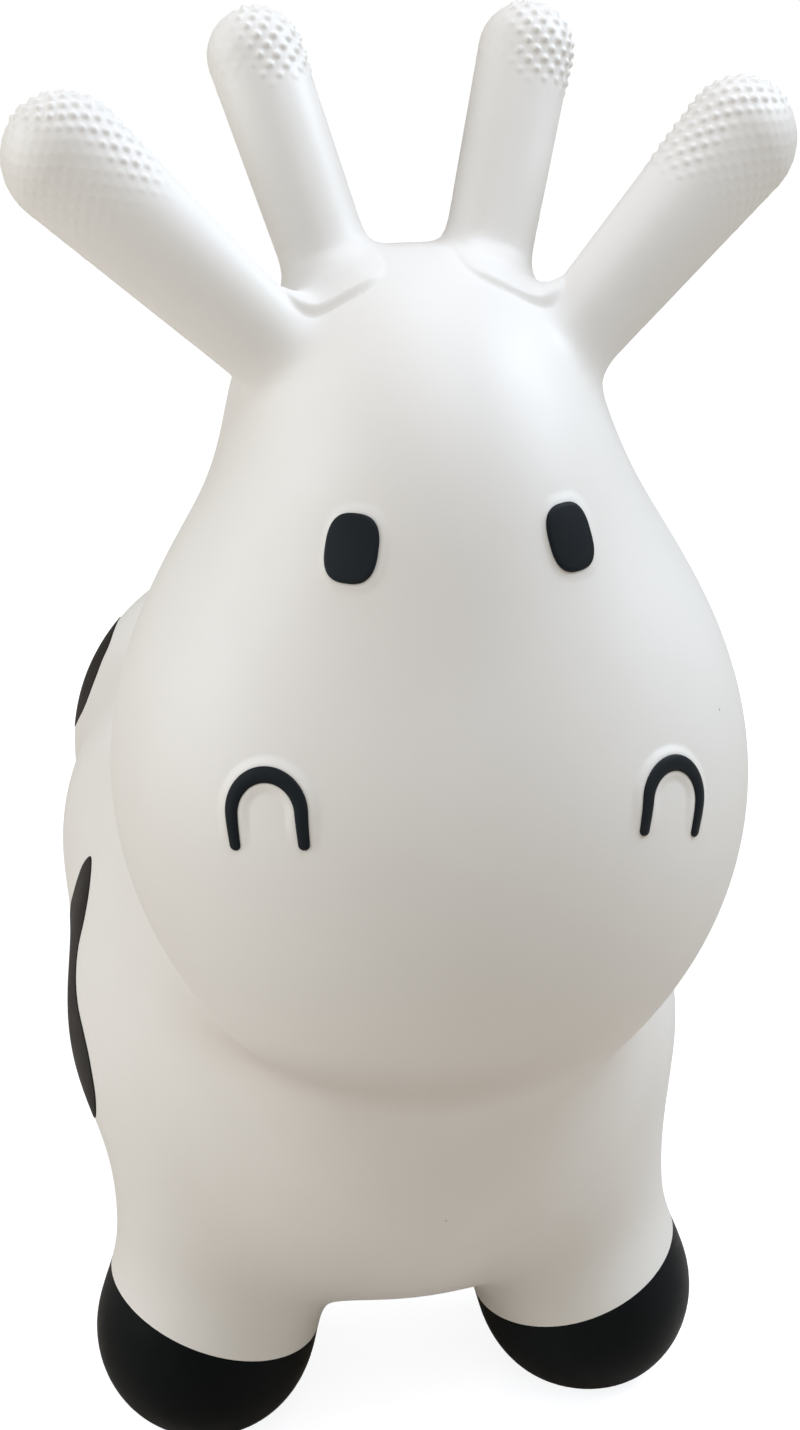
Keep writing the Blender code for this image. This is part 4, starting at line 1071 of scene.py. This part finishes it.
# Floor
# A plain pale floor that fades into white, with the toy's soft shadow left on it. It lies a hair
# under the soles, so that the two don't share a plane.
FLOOR_SIZE, FLOOR_DROP = 60, 0.0002
FLOOR_LIT, FLOOR_SEEN, FLOOR_GLOW = (0.66, 0.60, 0.54), (0.42, 0.43, 0.46), (0.87, 0.875, 0.885)
bpy.ops.mesh.primitive_plane_add(size=FLOOR_SIZE, location=(0, 0, -FLOOR_DROP))
floor = bpy.context.object
floor.name = "floor"
pale = bpy.data.materials.new("pale_floor")
pale.use_nodes = True
nodes = pale.node_tree.nodes
paper = nodes["Principled BSDF"]
dial(paper, {"Roughness": 0.9, "Specular IOR Level": 0.1})
seen = nodes.new("ShaderNodeLightPath")
tone = nodes.new("ShaderNodeMix")
tone.data_type = "RGBA"
dial(tone, {"A": (*FLOOR_LIT, 1), "B": (*FLOOR_SEEN, 1)})
wire(seen, "Is Camera Ray", tone, "Factor")
wire(tone, "Result", paper, "Base Color")
glow = nodes.new("ShaderNodeEmission")
dial(glow, {"Color": (*FLOOR_GLOW, 1)})
wire(seen, "Is Camera Ray", glow, "Strength")
both = nodes.new("ShaderNodeAddShader")
wire(paper, "BSDF", both, 0)
wire(glow, "Emission", both, 1)
wire(both, "Shader", nodes["Material Output"], "Surface")
floor.data.materials.append(pale)

# Light
# Soft cool daylight from a window on each side and two skylights, in a room of warm walls. The
# camera sees plain white instead of the room.
LIT_POINT = (0, -0.1, 0.3)
ROOM_COLOUR, ROOM_STRENGTH = (1.0, 0.93, 0.76), 0.33


def aimed(made, place, target):
    """Put a lamp or the camera at a place, turned towards a target."""
    made.location = place
    made.rotation_euler = (Vector(target) - Vector(place)).to_track_quat("-Z", "Y").to_euler()


def lamp(name, place, size, watts, colour):
    """A square soft light turned towards the middle of the toy."""
    data = bpy.data.lights.new(name, "AREA")
    data.shape = "SQUARE"
    data.size = size
    data.energy = watts
    data.color = colour
    aimed(placed(name, data), place, LIT_POINT)


lamp("left_window", (-1.40, -0.15, 0.80), 1.1, 10.4, (0.94, 0.97, 1.0))
lamp("right_window", (1.30, -0.10, 1.45), 0.9, 17.6, (0.76, 0.87, 1.0))
lamp("rear_skylight", (0.15, 0.25, 2.2), 1.2, 9.8, (0.82, 0.86, 1.0))
lamp("front_skylight", (0.10, -0.90, 2.0), 1.2, 11.2, (0.83, 0.88, 1.0))

world = bpy.data.worlds.new("room")
bpy.context.scene.world = world
world.use_nodes = True
nodes = world.node_tree.nodes
room = nodes["Background"]
dial(room, {"Color": (*ROOM_COLOUR, 1), "Strength": ROOM_STRENGTH})
bright = nodes.new("ShaderNodeBackground")
dial(bright, {"Color": (1, 1, 1, 1), "Strength": 1.0})
seen = nodes.new("ShaderNodeLightPath")
mix = nodes.new("ShaderNodeMixShader")
wire(seen, "Is Camera Ray", mix, "Fac")
wire(room, "Background", mix, 1)
wire(bright, "Background", mix, 2)
wire(mix, "Shader", nodes["World Output"], "Surface")

# Camera
# The photograph's own view, from above the nose and a little to the animal's right. A small
# shift of the lens puts the toy where the photograph has it.
VIEWED_FROM, LOOKED_AT = (-0.1337, -0.8881, 0.6172), (0, -0.168, 0.3168)
lens = bpy.data.cameras.new("camera")
lens.lens = 57.44
lens.sensor_width = 36
lens.shift_x = -0.0140
lens.clip_start = 0.05
camera = placed("camera", lens)
aimed(camera, VIEWED_FROM, LOOKED_AT)
bpy.context.scene.camera = camera
bpy.context.scene.view_settings.view_transform = "Standard"
